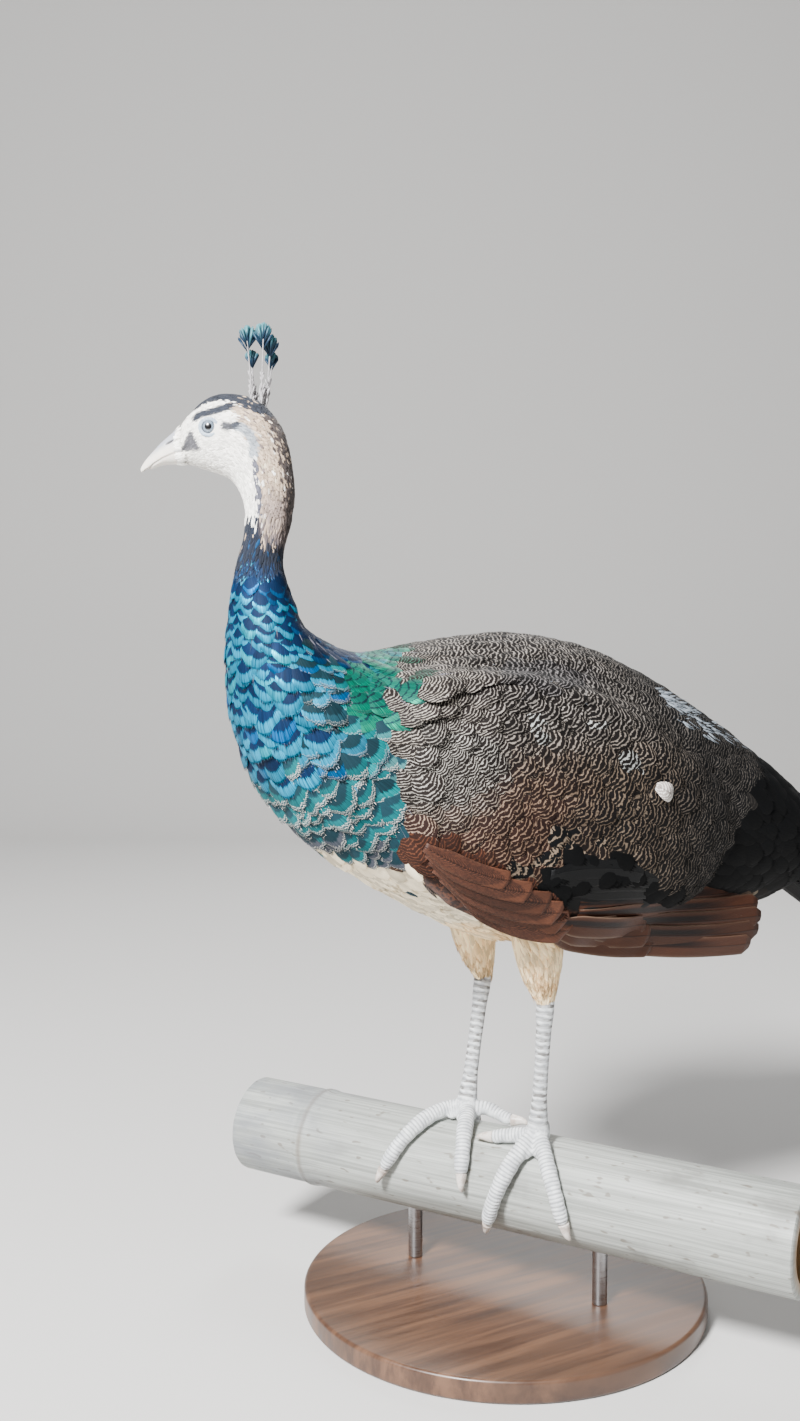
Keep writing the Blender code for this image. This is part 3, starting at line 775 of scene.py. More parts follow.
        # Greyer-brown towards the lower edge of the buff: painted shade at the base of the head.
        self.blend(buffy * smooth(z, 0.515, 0.495) * 0.8, tone=TAUPE * 1.1)
        grey_arc = stripe(h, ((-0.2290, 0.5550), (-0.2235, 0.5525), (-0.2190, 0.5475),
                              (-0.2168, 0.5405), (-0.2175, 0.5345)), 0.0072)
        self.blend(head * grey_arc * 0.9, tone=ICE * 0.62)
        neck_line = stripe(h, ((-0.2172, 0.530), (-0.2160, 0.516), (-0.2150, 0.5000),
                               (-0.2165, 0.49)), 0.0044)
        self.paint(neck_line * (0.7 + 0.3 * patchy) * smooth(z, 0.532, 0.524),
                   tone=STEEL_GREY * 0.75)
        # A dark band along the back of the head: partly its own dark feathers, partly painted
        # shade along that edge.
        nape = self.past((0.45, 0.48, 0.505, 0.53, 0.556, 0.57),
                         (-0.2005, -0.1995, -0.196, -0.199, -0.2065, -0.215))
        nape = smooth(nape, -0.004, 0.004) * (0.9 + 0.1 * tiny)
        self.paint(nape * smooth(z, 0.45, 0.465) * smooth(z, 0.578, 0.57), tone=TAUPE * 0.3,
                   look=(0, 0, 0.15), fine=(3, 0.2, 0.05))
        crown_low = np.interp(x, (-0.272, -0.2635, -0.2555, -0.245, -0.235, -0.225, -0.212),
                              (0.5635, 0.5668, 0.5718, 0.5746, 0.5742, 0.5700, 0.563))
        crown = smooth(z - crown_low, -0.0010, 0.0012)
        self.paint(crown, tone=SLATE * 0.8, look=(0, 0, 0.1), fine=(3, 0.3, 0.05))
        self.paint(crown * smooth(tiny, 0.0, 0.8) * smooth(x, -0.245, -0.225) * 0.5,
                   tone=TAN * 1.1)
        eye_line = stripe(h, ((-0.2602, 0.5618), (-0.2580, 0.5638), (-0.2540, 0.5650),
                              (-0.2470, 0.5664), (-0.2400, 0.5682), (-0.2330, 0.5702)), 0.0054)
        self.blend(head * eye_line, tone=SLATE * 0.9, look=(0, 0, 0))
        lore = 0.5563 - z - 2.1 * np.hypot(x + 0.2636, 0.0012)
        lore = smooth(z, 0.5380, 0.5400) * smooth(lore, -0.0010, 0.0018)
        self.blend(lore * 0.95, tone=STEEL_GREY * 0.42)
        ear = stripe(h, ((-0.2385, 0.5555), (-0.2345, 0.5542), (-0.2290, 0.5560)), 0.0054)
        self.blend(ear * 0.95, tone=SLATE * 0.9)


def store_markings(mesh, places, number=None, paint=None):
    """The markings as attributes. number gives each vertex's row in places."""
    if number is None:
        coat, number = Coat(places, 0.5), slice(None)
    else:
        coat = Coat(places, np.random.default_rng(len(places)).uniform(0, 1, len(places)))
    coat.blend(coat.everywhere, **(paint or {}))
    for name in ("tone", "band", "trim"):
        rows = getattr(coat, name)[number]
        attribute(mesh, name, np.c_[rows, np.ones(len(rows))], "FLOAT_COLOR")
    for name in ("look", "fine"):
        attribute(mesh, name, getattr(coat, name)[number])
    attribute(mesh, "rings", coat.rings[number], "FLOAT")


# ---------------------------------------------------------------- the skin
FILL_ROUNDS, MOST_FILL = 90, 0.0004  # the hollows of the back fill up a little each round
FLESH = ("trunk", "wing_left", "wing_right", "neck_lower", "neck_upper", "head",
         "thigh_left", "thigh_right")


def coat_depth(z):
    """How far the skin lies inside the feathers' outline, at each height."""
    return np.interp(z, (0.10, 0.14, 0.18, 0.40, 0.46, 0.49, 0.52),
                     (0.0012, 0.0022, 0.0036, 0.0034, 0.0020, 0.0014, 0.0009))


def make_skin():
    """One seamless skin under all the feathers, with the fields that they follow."""
    skin = from_nodes("skin", *FLESH, "eye_left", "eye_right")
    mesh, points = remeshed(skin, SKIN_VOXEL, 4)
    points -= normals(mesh) * coat_depth(points[:, 2] - LIFT)[:, None]
    points = relaxed(mesh, points, 3)
    x, z = points[:, 0], points[:, 2] - LIFT
    back = smooth(z, 0.28, 0.34) * smooth(x, -0.18, -0.12)
    for _ in range(FILL_ROUNDS):
        put_points(mesh, points)
        out_of = normals(mesh)
        step = ((relaxed(mesh, points, 2) - points) * out_of).sum(1)
        points = points + out_of * (np.clip(step, 0, MOST_FILL) * 1.6 * back)[:, None]
    points += (relaxed(mesh, points, 60) - points) * back[:, None]
    put_points(mesh, points)

    p = places_of(mesh) - (0, 0, LIFT)
    out_of = relaxed(mesh, normals(mesh), 25)
    body = (smooth(p[:, 2], 0.22, 0.26) * smooth(p[:, 0], -0.16, -0.12))[:, None]
    out_of = unit(out_of * (1 - body) + relaxed(mesh, out_of, 90) * body)
    attribute(mesh, "out", out_of)
    attribute(mesh, "lie", lie_of_coat(mesh, p, out_of))
    store_markings(mesh, p)
    attribute(mesh, "vane", np.tile((0.5, 0.3, 0), (len(p), 1)))
    attribute(mesh, "shade", np.full(len(p), 0.4), "FLOAT")
    return skin


def lie_of_coat(mesh, p, out_of):
    """The way the feathers point at each place: back along the neck and body."""
    x, y, z = p.T
    along = SPINE_ALONG[on_spine(straight(p))]
    lie = np.stack((along[:, 0], np.zeros(len(p)), along[:, 1]), 1)
    lie = spun(lie + (TURN_AT_X, 0, 0), HEAD_TURN * turn_share(z)) - (TURN_AT_X, 0, 0)
    on_wing = smooth(np.abs(y), 0.05, 0.08) * smooth(x, -0.16, -0.12)
    down = np.interp(x, (-0.14, -0.05, 0.05, 0.15), (1.1, 0.7, 0.35, 0.15))
    lie[:, 2] -= down * np.interp(z, (0.2, 0.25, 0.3, 0.37), (0.5, 0.8, 1, 0.4)) * on_wing
    leg = smooth(z, 0.18, 0.165)[:, None]
    lie = relaxed(mesh, lie * (1 - leg) + np.array((0.15, 0, -1.0)) * leg, 30)
    lie -= out_of * (lie * out_of).sum(1, keepdims=True)
    return unit(lie)


# ---------------------------------------------------------------- feathers
SHAPES = {
    # first seed, columns, rows, half widths at them, reach of the free ends, camber, droop
    "broad": (0, 10, (0, 0.3, 0.58, 0.76, 0.87), (0.30, 0.86, 1.0, 0.90, 0.66), (0.4, 1.25),
              0.075, 0.03),
    "wispy": (20, 4, (0, 0.3, 0.6, 0.8), (0.3, 0.9, 1.0, 0.6), (0.3, 1.7), 0.07, 0.04),
    "small": (30, 3, (0, 0.4, 0.78), (0.4, 1.0, 0.75), (0.4, 1.4), 0.08, 0.03),
}
VARIANTS = 3
ROW_BOW = 0.16  # how far a row's sides lie back, as a share of its half width
MOST_FEATHERS = 3000000.0  # a square metre


def vane_mesh(name, seed, columns, rows, widths, tip, camber, droop):
    """One feather with its root at the origin and its tip at y = 1: a curved blade that
    ends in the free ends of its barbs."""
    random = np.random.default_rng(seed)
    points, vane, faces, fingers = [], [], [], []
    for v, half in zip(rows, widths):
        for u in (2 * c / columns - 1 for c in range(columns + 1)):
            back = ROW_BOW * half * u * u * (v / rows[-1]) ** 2
            points.append((0.5 * half * u, v - back, camber * half * (1 - u * u) - droop * v * v))
            vane.append((half * u, v - back, 0))
    across, last = columns + 1, len(rows) - 1
    for r in range(last):
        for a in range(r * across, r * across + columns):
            faces.append((a, a + 1, a + across + 1, a + across))
    half = widths[-1]
    for c in range(columns):
        u = 2 * (c + random.uniform(0.35, 0.65)) / columns - 1
        reach = (1 - rows[-1]) * (1 - 0.6 * u * u) * random.uniform(*tip)
        v = rows[-1] - ROW_BOW * half * u * u + reach
        fingers.append(len(points))
        points.append((0.5 * half * u * (1 - 0.3 * reach), v,
                       0.5 * camber * (1 - u * u) - droop * v * v))
        vane.append((half * u, v, 0))
        a = last * across + c
        faces.append((a, a + 1, fingers[-1]))
    rim = [r * across for r in range(last + 1)]
    for c in range(columns):
        rim += [fingers[c], last * across + c + 1]
    rim += [r * across + columns for r in range(last - 1, -1, -1)]
    rim += list(range(columns - 1, 0, -1))
    faces.append(tuple(rim))
    mesh = mesh_of(name, points, faces)
    attribute(mesh, "vane", vane)
    mesh.shade_smooth()
    mesh.set_sharp_from_angle(angle=radians(75))
    return mesh


def feather_kinds():
    """A hidden collection of a few variants for each shape of feather."""
    kinds = {}
    for name, (seed, *shape) in SHAPES.items():
        kinds[name] = bpy.data.collections.new("feathers " + name)
        for k in range(VARIANTS):
            mesh = vane_mesh(f"{name}_feather_{k}", seed + k, *shape)
            kinds[name].objects.link(bpy.data.objects.new(mesh.name, mesh))
    return kinds


def coat_tree():
    """Feathers set out evenly over a patch of skin and laid along it."""
    tree, put, result = group_of(
        "Feather coat", "GeometryNodeTree",
        {"Skin": "NodeSocketGeometry", "Feathers": "NodeSocketCollection", "Spacing": FLOAT,
         "Length": FLOAT, "Width": FLOAT, "Lift": FLOAT, "Unevenness": FLOAT,
         "Seed": "NodeSocketInt", "Finish": "NodeSocketMaterial"},
        {"Coat": "NodeSocketGeometry"},
    )

    def made(kind, settings=(), **inputs):
        return out(node(tree, kind, settings, **inputs))

    def field(name, kind="FLOAT"):
        return made("GeometryNodeInputNamedAttribute", {"data_type": kind}, Name=name)

    def chance(low, high, salt, kind="FLOAT"):
        return made("FunctionNodeRandomValue", {"data_type": kind}, Min=low, Max=high,
                    Seed=put["Seed"] + salt)

    points = made("GeometryNodeDistributePointsOnFaces", {"distribute_method": "POISSON"},
                  Mesh=put["Skin"], Distance_Min=put["Spacing"], Density_Max=MOST_FEATHERS,
                  Seed=put["Seed"])
    for name, kind, value in (("root", "FLOAT_VECTOR", made("GeometryNodeInputPosition")),
                              ("shade", "FLOAT", chance(0.0, 1.0, 1)),
                              ("number", "INT", made("GeometryNodeInputIndex"))):
        points = made("GeometryNodeStoreNamedAttribute", {"data_type": kind, "domain": "POINT"},
                      Geometry=points, Name=name, Value=value)
    laid = made("FunctionNodeAxesToRotation", {"primary_axis": "Z", "secondary_axis": "Y"},
                Primary_Axis=field("out", "FLOAT_VECTOR"),
                Secondary_Axis=field("lie", "FLOAT_VECTOR"))
    swing = chance(-1.0, 1.0, 2) * put["Unevenness"]
    roll = chance(-1.0, 1.0, 3) * (put["Unevenness"] * 0.5)
    raised = put["Lift"] * field("ruffle") * chance(0.7, 1.3, 4)
    tilt = made("FunctionNodeEulerToRotation", Euler=vector(raised, roll, swing))
    laid = made("FunctionNodeRotateRotation", {"rotation_space": "LOCAL"}, Rotation=laid,
                Rotate_By=tilt)
    grow = field("grow") * chance(0.88, 1.14, 5)
    long = put["Length"] * grow
    kinds = made("GeometryNodeCollectionInfo", Collection=put["Feathers"],
                 Separate_Children=True, Reset_Children=True)
    placed = made("GeometryNodeInstanceOnPoints", Points=points, Instance=kinds,
                  Pick_Instance=True, Instance_Index=chance(0, VARIANTS - 1, 6, "INT"),
                  Rotation=laid, Scale=vector(put["Width"] * grow, long, long))
    real = made("GeometryNodeRealizeInstances", Geometry=placed)
    fill(result.inputs[0], made("GeometryNodeSetMaterial", Geometry=real, Material=put["Finish"]))
    return tree


def patch_of(skin, name, wanted):
    """The faces of the skin that begin at a wanted vertex, with their fields."""
    corners = filled(skin.loops, "vertex_index", 1, np.int32)
    totals = filled(skin.polygons, "loop_total", 1, np.int32)
    starts = np.r_[0, np.cumsum(totals)[:-1]]
    faces = [corners[s : s + t] for s, t in zip(starts, totals) if wanted[corners[s]]]
    used = np.unique(np.concatenate(faces))
    number = np.zeros(len(wanted), int)
    number[used] = np.arange(len(used))
    points = places_of(skin)[used]
    mesh = mesh_of(name, points, [tuple(number[f]) for f in faces])
    for label in ("lie", "out"):
        attribute(mesh, label, read(skin, label)[used])
    return mesh, points - (0, 0, LIFT)


def unrolled(places):
    """Places on the skin laid flat: round the spine and along it, from 0.01 to 0.99."""
    h = straight(places)
    near = on_spine(h)
    along = SPINE_ALONG[near]
    off = h[:, ::2] - SPINE_LINE[near]
    high = off[:, 1] * along[:, 0] - off[:, 0] * along[:, 1]
    flat = np.stack((np.arctan2(h[:, 1], high), SPINE_RUN[near] + (off * along).sum(1)), 1)
    return 0.01 + 0.98 * (flat - flat.min(0)) / (flat.max(0) - flat.min(0))


def coat_grower():
    """The function that covers part of a skin with feathers of one kind."""
    tree, kinds = coat_tree(), feather_kinds()

    def grow_coat(skin, name, wanted, material, kind, sizes, seed, slot, grow=None,
                  ruffle=None, paint=None):
        """One piece of coat, with its markings and its bake map."""
        mesh, p = patch_of(skin, name, wanted)
        for field, rule in (("grow", grow), ("ruffle", ruffle)):
            attribute(mesh, field, rule(p) if rule else np.ones(len(p)), "FLOAT")
        coat = linked(name, mesh)
        modifier = coat.modifiers.new("feathers", "NODES")
        modifier.node_group = tree
        values = {"Feathers": kinds[kind], "Seed": seed, "Finish": material}
        values |= zip(("Spacing", "Length", "Width", "Lift", "Unevenness"), sizes)
        for item in tree.interface.items_tree:
            if item.name in values:
                modifier[item.identifier] = values[item.name]
        mesh = baked(coat).data
        number, vane, points = read(mesh, "number"), read(mesh, "vane"), places_of(mesh)
        count = number.max() + 1
        roots = np.zeros((count, 3))
        roots[number] = read(mesh, "root")
        shown = (vane[:, 1] > 0.68).astype(float)
        tips = np.stack([np.bincount(number, shown * row, count) for row in points.T], 1)
        tips /= np.maximum(np.bincount(number, shown, count), 1)[:, None]
        store_markings(mesh, tips - (0, 0, LIFT), number, paint)
        spots = unrolled(roots - (0, 0, LIFT))[number]
        bake_spots(mesh, spots + (vane[:, :2] * (0.5, 1) - (0, 0.5)) * 0.003)
        for spare in ("root", "number", "grow", "ruffle", "out", "lie"):
            layer = mesh.attributes.get(spare)
            if layer:
                mesh.attributes.remove(layer)
        return finished(coat, None, slot)

    return grow_coat


def make_bill_feathers(bill, grow_coat, materials):
    """Tiny feathers over the root of the bill, lying back on to the face."""
    guide = bill.data.copy()
    h = straight(places_of(guide) - (0, 0, LIFT))
    back = Matrix.Rotation(HEAD_TURN, 3, "Z") @ Vector((1, 0, 0.1))
    attribute(guide, "out", normals(guide))
    attribute(guide, "lie", np.tile(back, (len(h), 1)))
    edge = np.interp(h[:, 2], (0.528, 0.540, 0.550, 0.557), (-0.2755, -0.2768, -0.2775, -0.2745))
    edge += 0.0012 * ripple(h, 0.0035, 2.0)
    grow_coat(guide, "bill_root_feathers", h[:, 0] > edge, materials["down"], "small",
              (0.0008, 0.0042, 0.0015, 0.025, 0.25), 15, "face_feathers",
              grow=lambda q: np.interp(q[:, 2], (0.535, 0.545), (1.6, 1.0)))


def make_plumage(skin, grow_coat, materials):
    """All the feathers that grow from the skin, zone by zone."""
    p = places_of(skin) - (0, 0, LIFT)
    h = straight(p)
    x, y, z = h.T
    side = np.abs(y)
    front = x < border_x(z)
    eyes = np.full(len(p), False)
    for sign in (-1, 1):
        d = np.linalg.norm((h - EYE_PLACE * (1, sign, 1))[:, ::2] + (0.0009, 0), axis=1)
        eyes |= (d < 0.0080) & (y * sign > 0.004)
    bill = x < -0.2728
    head = z > 0.494
    face = head & (x < -0.221) & ~eyes & ~bill
    nape = head & ~face & ~eyes & ~bill
    upper_neck = (z > 0.452) & ~head
    neck = (z > 0.372) & ~upper_neck & ~head & front
    inner = np.interp(x, (-0.13, -0.11, 0.14, 0.17), (0.073, 0.056, 0.056, 0.073))
    under = (z <= belly_z(x)) & (side < inner) | (z < 0.165)
    reach = np.interp(z, (0.11, 0.17, 0.195), (0.024, 0.034, 0.042))
    legs = (z < 0.186) & (np.abs(x) < reach) & (side > 0.018) & (side < 0.0675) & (z > 0.1165)
    under |= legs
    breast = front & ~neck & ~upper_neck & ~head & ~under
    rest = ~(front | head | upper_neck | under)
    quills = rest & (side > 0.05) & (x < 0.165)
    quills &= z < np.maximum(chestnut_z(x), black_top(x)) - 0.006
    cap = (read(skin, "out") @ np.array((0.87, 0, -0.49)) > 0.62) & (x > 0.24)
    rest &= ~quills & ~cap
    belly = under & ~legs & (z > 0.14) & ~cap
    rear = rest & (x > 0.13)
    wing = rest & ~rear & (side > 0.055)
    back = rest & ~rear & ~wing
    line = np.interp(x, (0.11, 0.207, 0.268, 0.29), (0.352, 0.317, 0.273, 0.255))
    strip = rest & (np.abs(z - line + 0.004) < np.interp(x, (0.13, 0.22), (0.010, 0.005)))
    strip &= (x > 0.105) & (x < 0.26) & (y < -0.012)
    wisps = np.zeros(len(p), bool)
    for at_x, at_z, long, high in ((-0.040, 0.385, 0.024, 0.006), (-0.018, 0.366, 0.014, 0.004),
                                   (0.060, 0.322, 0.010, 0.012), (-0.036, 0.330, 0.012, 0.004)):
        wisps |= ((x - at_x) / long) ** 2 + ((z - at_z) / high) ** 2 < 1
    wisps &= rest & (y < -0.03)
    hairs = (neck | breast) & (z > 0.26) & (z < 0.42)

    def by(axis, *table):
        """Growth along one direction of the unturned bird."""
        return lambda q: np.interp(straight(q)[:, axis], *zip(*table))

    def on_face(q):
        """Growth on the face, smallest round the eyes and at the bill."""
        g = straight(q)
        near_eye = np.linalg.norm(g[:, ::2] - EYE_PLACE[::2], axis=1)
        size = np.interp(g[:, 0], (-0.272, -0.25, -0.23), (0.6, 0.8, 1.1))
        return size * np.interp(near_eye, (0.006, 0.013), (0.45, 1.0))

    wisp = {"tone": ICE * 0.95, "trim": ICE * 1.1, "look": (0, 0, 0.4), "fine": (3, 0.25, 0),
            "rings": 0}
    body, down, blue = (materials[key] for key in ("body", "down", "neck"))
    zones = (  # the five sizes are spacing, length, width, lift and unevenness
        ("face_feathers", face, down, "small", (0.00105, 0.0042, 0.0016, 0.07, 0.2), 1,
         "face_feathers", {"grow": on_face}),
        ("nape_feathers", nape, down, "small", (0.0013, 0.0060, 0.0025, 0.10, 0.25), 2,
         "face_feathers", {}),
        ("upper_neck_feathers", upper_neck, down, "wispy", (0.0017, 0.0110, 0.0026, 0.09, 0.2), 3,
         "neck_feathers", {}),
        ("neck_feathers", neck, blue, "broad", (0.0068, 0.0270, 0.0190, 0.10, 0.18), 4,
         "neck_feathers", {"grow": by(2, (0.37, 1.15), (0.41, 0.95), (0.455, 0.58))}),
        ("breast_feathers", breast, blue, "broad", (0.0102, 0.036, 0.0265, 0.09, 0.15), 5,
         "body_feathers", {"grow": by(2, (0.22, 0.55), (0.26, 0.75), (0.31, 1.0), (0.36, 0.95))}),
        ("back_feathers", back, body, "broad", (0.0068, 0.031, 0.021, 0.075, 0.13), 6,
         "body_feathers", {}),
        ("wing_coverts", wing, body, "broad", (0.0073, 0.032, 0.023, 0.075, 0.11), 7,
         "body_feathers", {"grow": by(0, (-0.14, 0.75), (-0.05, 1.0), (0.1, 1.2))}),
        ("rump_coverts", rear, body, "broad", (0.0075, 0.036, 0.023, 0.09, 0.09), 8,
         "body_feathers", {"grow": by(0, (0.13, 0.9), (0.2, 1.1), (0.27, 1.7), (0.30, 2.2))}),
        ("belly_feathers", belly, down, "wispy", (0.0032, 0.024, 0.0085, 0.08, 0.15), 9,
         "body_feathers", {}),
        ("thigh_feathers", legs, down, "wispy", (0.0020, 0.017, 0.0042, 0.10, 0.22), 10,
         "thigh_feathers", {"grow": by(2, (0.112, 0.9), (0.13, 1.0), (0.16, 1.1)),
                            "ruffle": lambda q: np.interp(q[:, 2], (0.112, 0.135), (0.3, 1.0))}),
        ("ruffled_down", strip, down, "wispy", (0.0026, 0.022, 0.0038, 0.20, 0.45), 11,
         "body_feathers", {"paint": wisp | {"tone": ICE * 0.55, "trim": ICE * 0.8,
                                            "fine": (3, 0.5, 0)}}),
        ("loose_wisps", wisps, down, "wispy", (0.0055, 0.019, 0.0020, 0.13, 0.45), 12,
         "body_feathers", {"paint": wisp | {"tone": ICE * 0.75}}),
        ("neck_hairs", hairs, down, "wispy", (0.0080, 0.021, 0.0008, 0.13, 0.3), 13,
         "neck_feathers", {"paint": wisp | {"tone": STEEL_GREY * 0.8, "trim": STEEL_GREY}}),
    )
    for *details, more in zones:
        grow_coat(skin, *details, **more)


# ---------------------------------------------------------------- flight feathers
def blade(rows, columns, thick):
    """A long closed vane through rows of (middle, half side vector, out vector)."""
    points, vane, faces = [], [], []
    for layer in (1, -1):
        for k, (middle, half, outward) in enumerate(rows):
            for u in (2 * c / columns - 1 for c in range(columns + 1)):
                rise = 0.5 * thick * layer + 1.4 * thick * (1 - abs(u)) * (layer > 0)
                points.append(middle + half * u + outward * rise)
                vane.append((u, k / (len(rows) - 1), 0))
    across = columns + 1
    size = across * len(rows)
    for r in range(len(rows) - 1):
        for a in range(r * across, r * across + columns):
            b = a + size
            faces.append((a, a + 1, a + across + 1, a + across))
            faces.append((b, b + across, b + across + 1, b + 1))
    rim = [r * across for r in range(len(rows))]
    rim += [size - across + c for c in range(1, across)]
    rim += [r * across + columns for r in range(len(rows) - 2, -1, -1)]
    rim += range(columns - 1, 0, -1)
    for a, b in zip(rim, rim[1:] + rim[:1]):
        faces.append((a, b, b + size, a + size))
    return points, vane, faces


def blade_widths(count, base, blunt=0.86, least=0.25):
    """Half widths down a flight feather, from its quill to its rounded end."""
    t = np.linspace(0, 1, count)
    start = 0.45 + 0.55 * smooth(t, 0, 0.25)
    end = np.clip(1 - (np.maximum(t - blunt, 0) / (1 - blunt)) ** 2.6, 0, 1) ** 0.5
    return base * start * np.maximum(end, least)


def joined_blades(name, blades, looks):
    """Many long vanes as one mesh, each with a strip of its own on the bake map."""
    points, vane, faces, owner = [], [], [], []
    for k, (p, v, f) in enumerate(blades):
        faces += [tuple(i + len(points) for i in face) for face in f]
        points += p
        vane += v
        owner += [k] * len(p)
    mesh = mesh_of(name, points, faces)
    with shaping(mesh):
        pass  # it only turns the faces outward
    owner, vane = np.array(owner), np.array(vane)
    u, v = vane[:, :1], vane[:, 1:2]

    def spread(label):
        return np.array([look[label] for look in looks], float)[owner]

    attribute(mesh, "vane", vane)
    random = np.random.default_rng(len(blades))
    attribute(mesh, "shade", random.uniform(0.2, 0.8, len(blades))[owner], "FLOAT")
    striped = spread("stripe")[:, None]
    dark = smooth(np.abs(u - 0.30), 0.40, 0.16) * striped * smooth(v, 0.85, 0.55)
    rim = smooth(np.abs(u), 0.80, 0.96) * 0.4 * striped
    tone = spread("tone") * (1 - dark) + SOOT * 1.6 * dark
    tone = tone * (1 - rim) + TAN * 0.8 * rim
    for label, rows in (("tone", tone), ("band", spread("band")), ("trim", spread("trim"))):
        attribute(mesh, label, np.c_[rows, np.ones(len(rows))], "FLOAT_COLOR")
    for label in ("look", "fine"):
        attribute(mesh, label, spread(label))
    attribute(mesh, "rings", np.zeros(len(owner)), "FLOAT")
    strip = (owner + 0.5 + vane[:, 0] * 0.42) / len(blades)
    bake_spots(mesh, np.stack((strip, 0.02 + 0.96 * vane[:, 1]), 1))
    return linked(name, mesh)


RUSSET_LOOK = {"tone": CHESTNUT * 1.1, "band": RUSSET_DARK, "trim": CHESTNUT * 1.3,
               "look": (0, 0.9, 0.5), "fine": (30, 0.24, 0.02), "stripe": 0.3}
PRIMARY_LOOK = {"tone": CHESTNUT * 0.64, "band": RUSSET_DARK, "trim": CHESTNUT * 0.6,
                "look": (0, 0.10, 0.5), "fine": (3, 0.2, 0.02), "stripe": 0.9}
BLACK_LOOK = {"tone": SOOT * 0.6, "band": SOOT, "trim": SOOT * 1.5,
              "look": (0, 0.1, 0.3), "fine": (4, 0.2, 0.02), "stripe": 0}
TAIL_LOOK = {"tone": SOOT * 1.5, "band": BARK * 1.2, "trim": TAUPE * 0.35,
             "look": (0, 0.5, 0.5), "fine": (16, 0.2, 0.08), "stripe": 0}
COVERT_LOOK = {"tone": SOOT * 1.3, "band": BARK, "trim": SOOT * 2.5,
               "look": (0, 0.4, 0.4), "fine": (14, 0.2, 0.12), "stripe": 0}
LOOSE_LOOK = {"tone": WHITE * 0.85, "band": TAUPE, "trim": WHITE,
              "look": (0, 0.8, 0.6), "fine": (6, 0.5, 0), "stripe": 0}

WING_QUILLS = (  # (root x, root z, tip x, tip z, sag, half width, layer), lowest layer first
    (PRIMARY_LOOK, (
        (0.006, 0.200, 0.2165, 0.1840, 0.000, 0.0080, 0),
        (0.006, 0.193, 0.2205, 0.1740, -0.002, 0.0086, 1),
        (0.004, 0.187, 0.2222, 0.1635, -0.004, 0.0088, 2),
        (0.000, 0.181, 0.2204, 0.1520, -0.006, 0.0090, 3),
        (-0.004, 0.176, 0.2110, 0.1405, -0.006, 0.0088, 4),
        (-0.012, 0.177, 0.0960, 0.1540, -0.004, 0.0096, 5),
        (-0.016, 0.183, 0.0900, 0.1640, -0.004, 0.0096, 6),
        (-0.018, 0.189, 0.0840, 0.1740, -0.003, 0.0092, 7),
    )),
    (BLACK_LOOK, (
        (-0.012, 0.212, 0.140, 0.1960, 0.004, 0.0085, 5),
        (-0.018, 0.218, 0.112, 0.2050, 0.005, 0.0085, 6),
        (-0.024, 0.223, 0.084, 0.2130, 0.005, 0.0085, 7),
        (-0.028, 0.228, 0.060, 0.2210, 0.005, 0.0080, 8),
    )),
    (RUSSET_LOOK, (
        (-0.104, 0.226, 0.000, 0.1800, -0.010, 0.0095, 8),
        (-0.112, 0.233, -0.006, 0.1885, -0.010, 0.0095, 9),
        (-0.118, 0.240, -0.014, 0.1970, -0.009, 0.0095, 10),
        (-0.122, 0.246, -0.026, 0.2060, -0.008, 0.0090, 11),
        (-0.125, 0.251, -0.044, 0.2160, -0.006, 0.0080, 12),
        (-0.127, 0.255, -0.064, 0.2270, -0.004, 0.0070, 13),
    )),
)
WING_STEPS = 24
MOST_LEAN = 0.006


def draped(surface, x, z, sign, last):
    """How far out the wing's surface is at x and z, or the last value beyond its edge."""
    hit = surface.ray_cast(Vector((x, sign * 0.3, z + LIFT)), Vector((0, -sign, 0)), 0.3)[0]
    out_by = sign * hit.y if hit else 0.0
    return out_by if out_by >= 0.05 else last


def wing_blade(surface, sign, root_x, root_z, tip_x, tip_z, sag, half, layer):
    """One long feather of the folded wing, lying on the wing's surface."""
    widths = blade_widths(WING_STEPS, half, 0.94, 0.45)
    slope = (tip_z - root_z) / (tip_x - root_x)
    path, last = [], 0.07
    for k, wide in enumerate(widths):
        t = k / (WING_STEPS - 1)
        t += 0.06 * sin(pi * t)
        x = root_x + (tip_x - root_x) * t
        z = root_z + (tip_z - root_z) * t + sag * 4 * t * (1 - t)
        last = draped(surface, x, z, sign, last)
        high, low = (draped(surface, x, z + off, sign, last) for off in (wide, -wide))
        path.append((x, z, last, np.clip(0.5 * (high - low), -MOST_LEAN, MOST_LEAN)))
    x, z, *soft = np.array(path).T
    for values in soft:
        for _ in range(6):
            values[1:-1] = (values[:-2] + values[2:] + 2 * values[1:-1]) / 4
    y, lean = soft
    rise = -0.0040 + 0.00055 * layer
    rows = [(Vector((x[k], sign * (y[k] + rise), z[k] + LIFT)),
             Vector((-slope * wide * 0.9, sign * lean[k], wide)), Vector((0, sign, 0.15)))
            for k, wide in enumerate(widths)]
    return blade(rows, 12, 0.0005)


def make_loose_feather(surface, materials):
    """One curled white feather caught on the left wing."""
    rows = []
    for t in (k / 13 for k in range(14)):
        x, z = 0.0695 + 0.017 * t, 0.2890 - 0.010 * t
        wide = 0.0070 * sin(pi * (0.06 + 0.88 * t)) ** 0.6
        y = draped(surface, x, z, -1, 0.07) + 0.0010 + 0.0045 * sin(pi * t)
        rows.append((Vector((x, -y, z + LIFT)), Vector((0.40 * wide, 0.0, 0.92 * wide)),
                     Vector((0, -1, 0.15))))
    obj = joined_blades("loose_feather", [blade(rows, 12, 0.0006)], [LOOSE_LOOK])
    finished(obj, materials["quill"], "body_feathers")


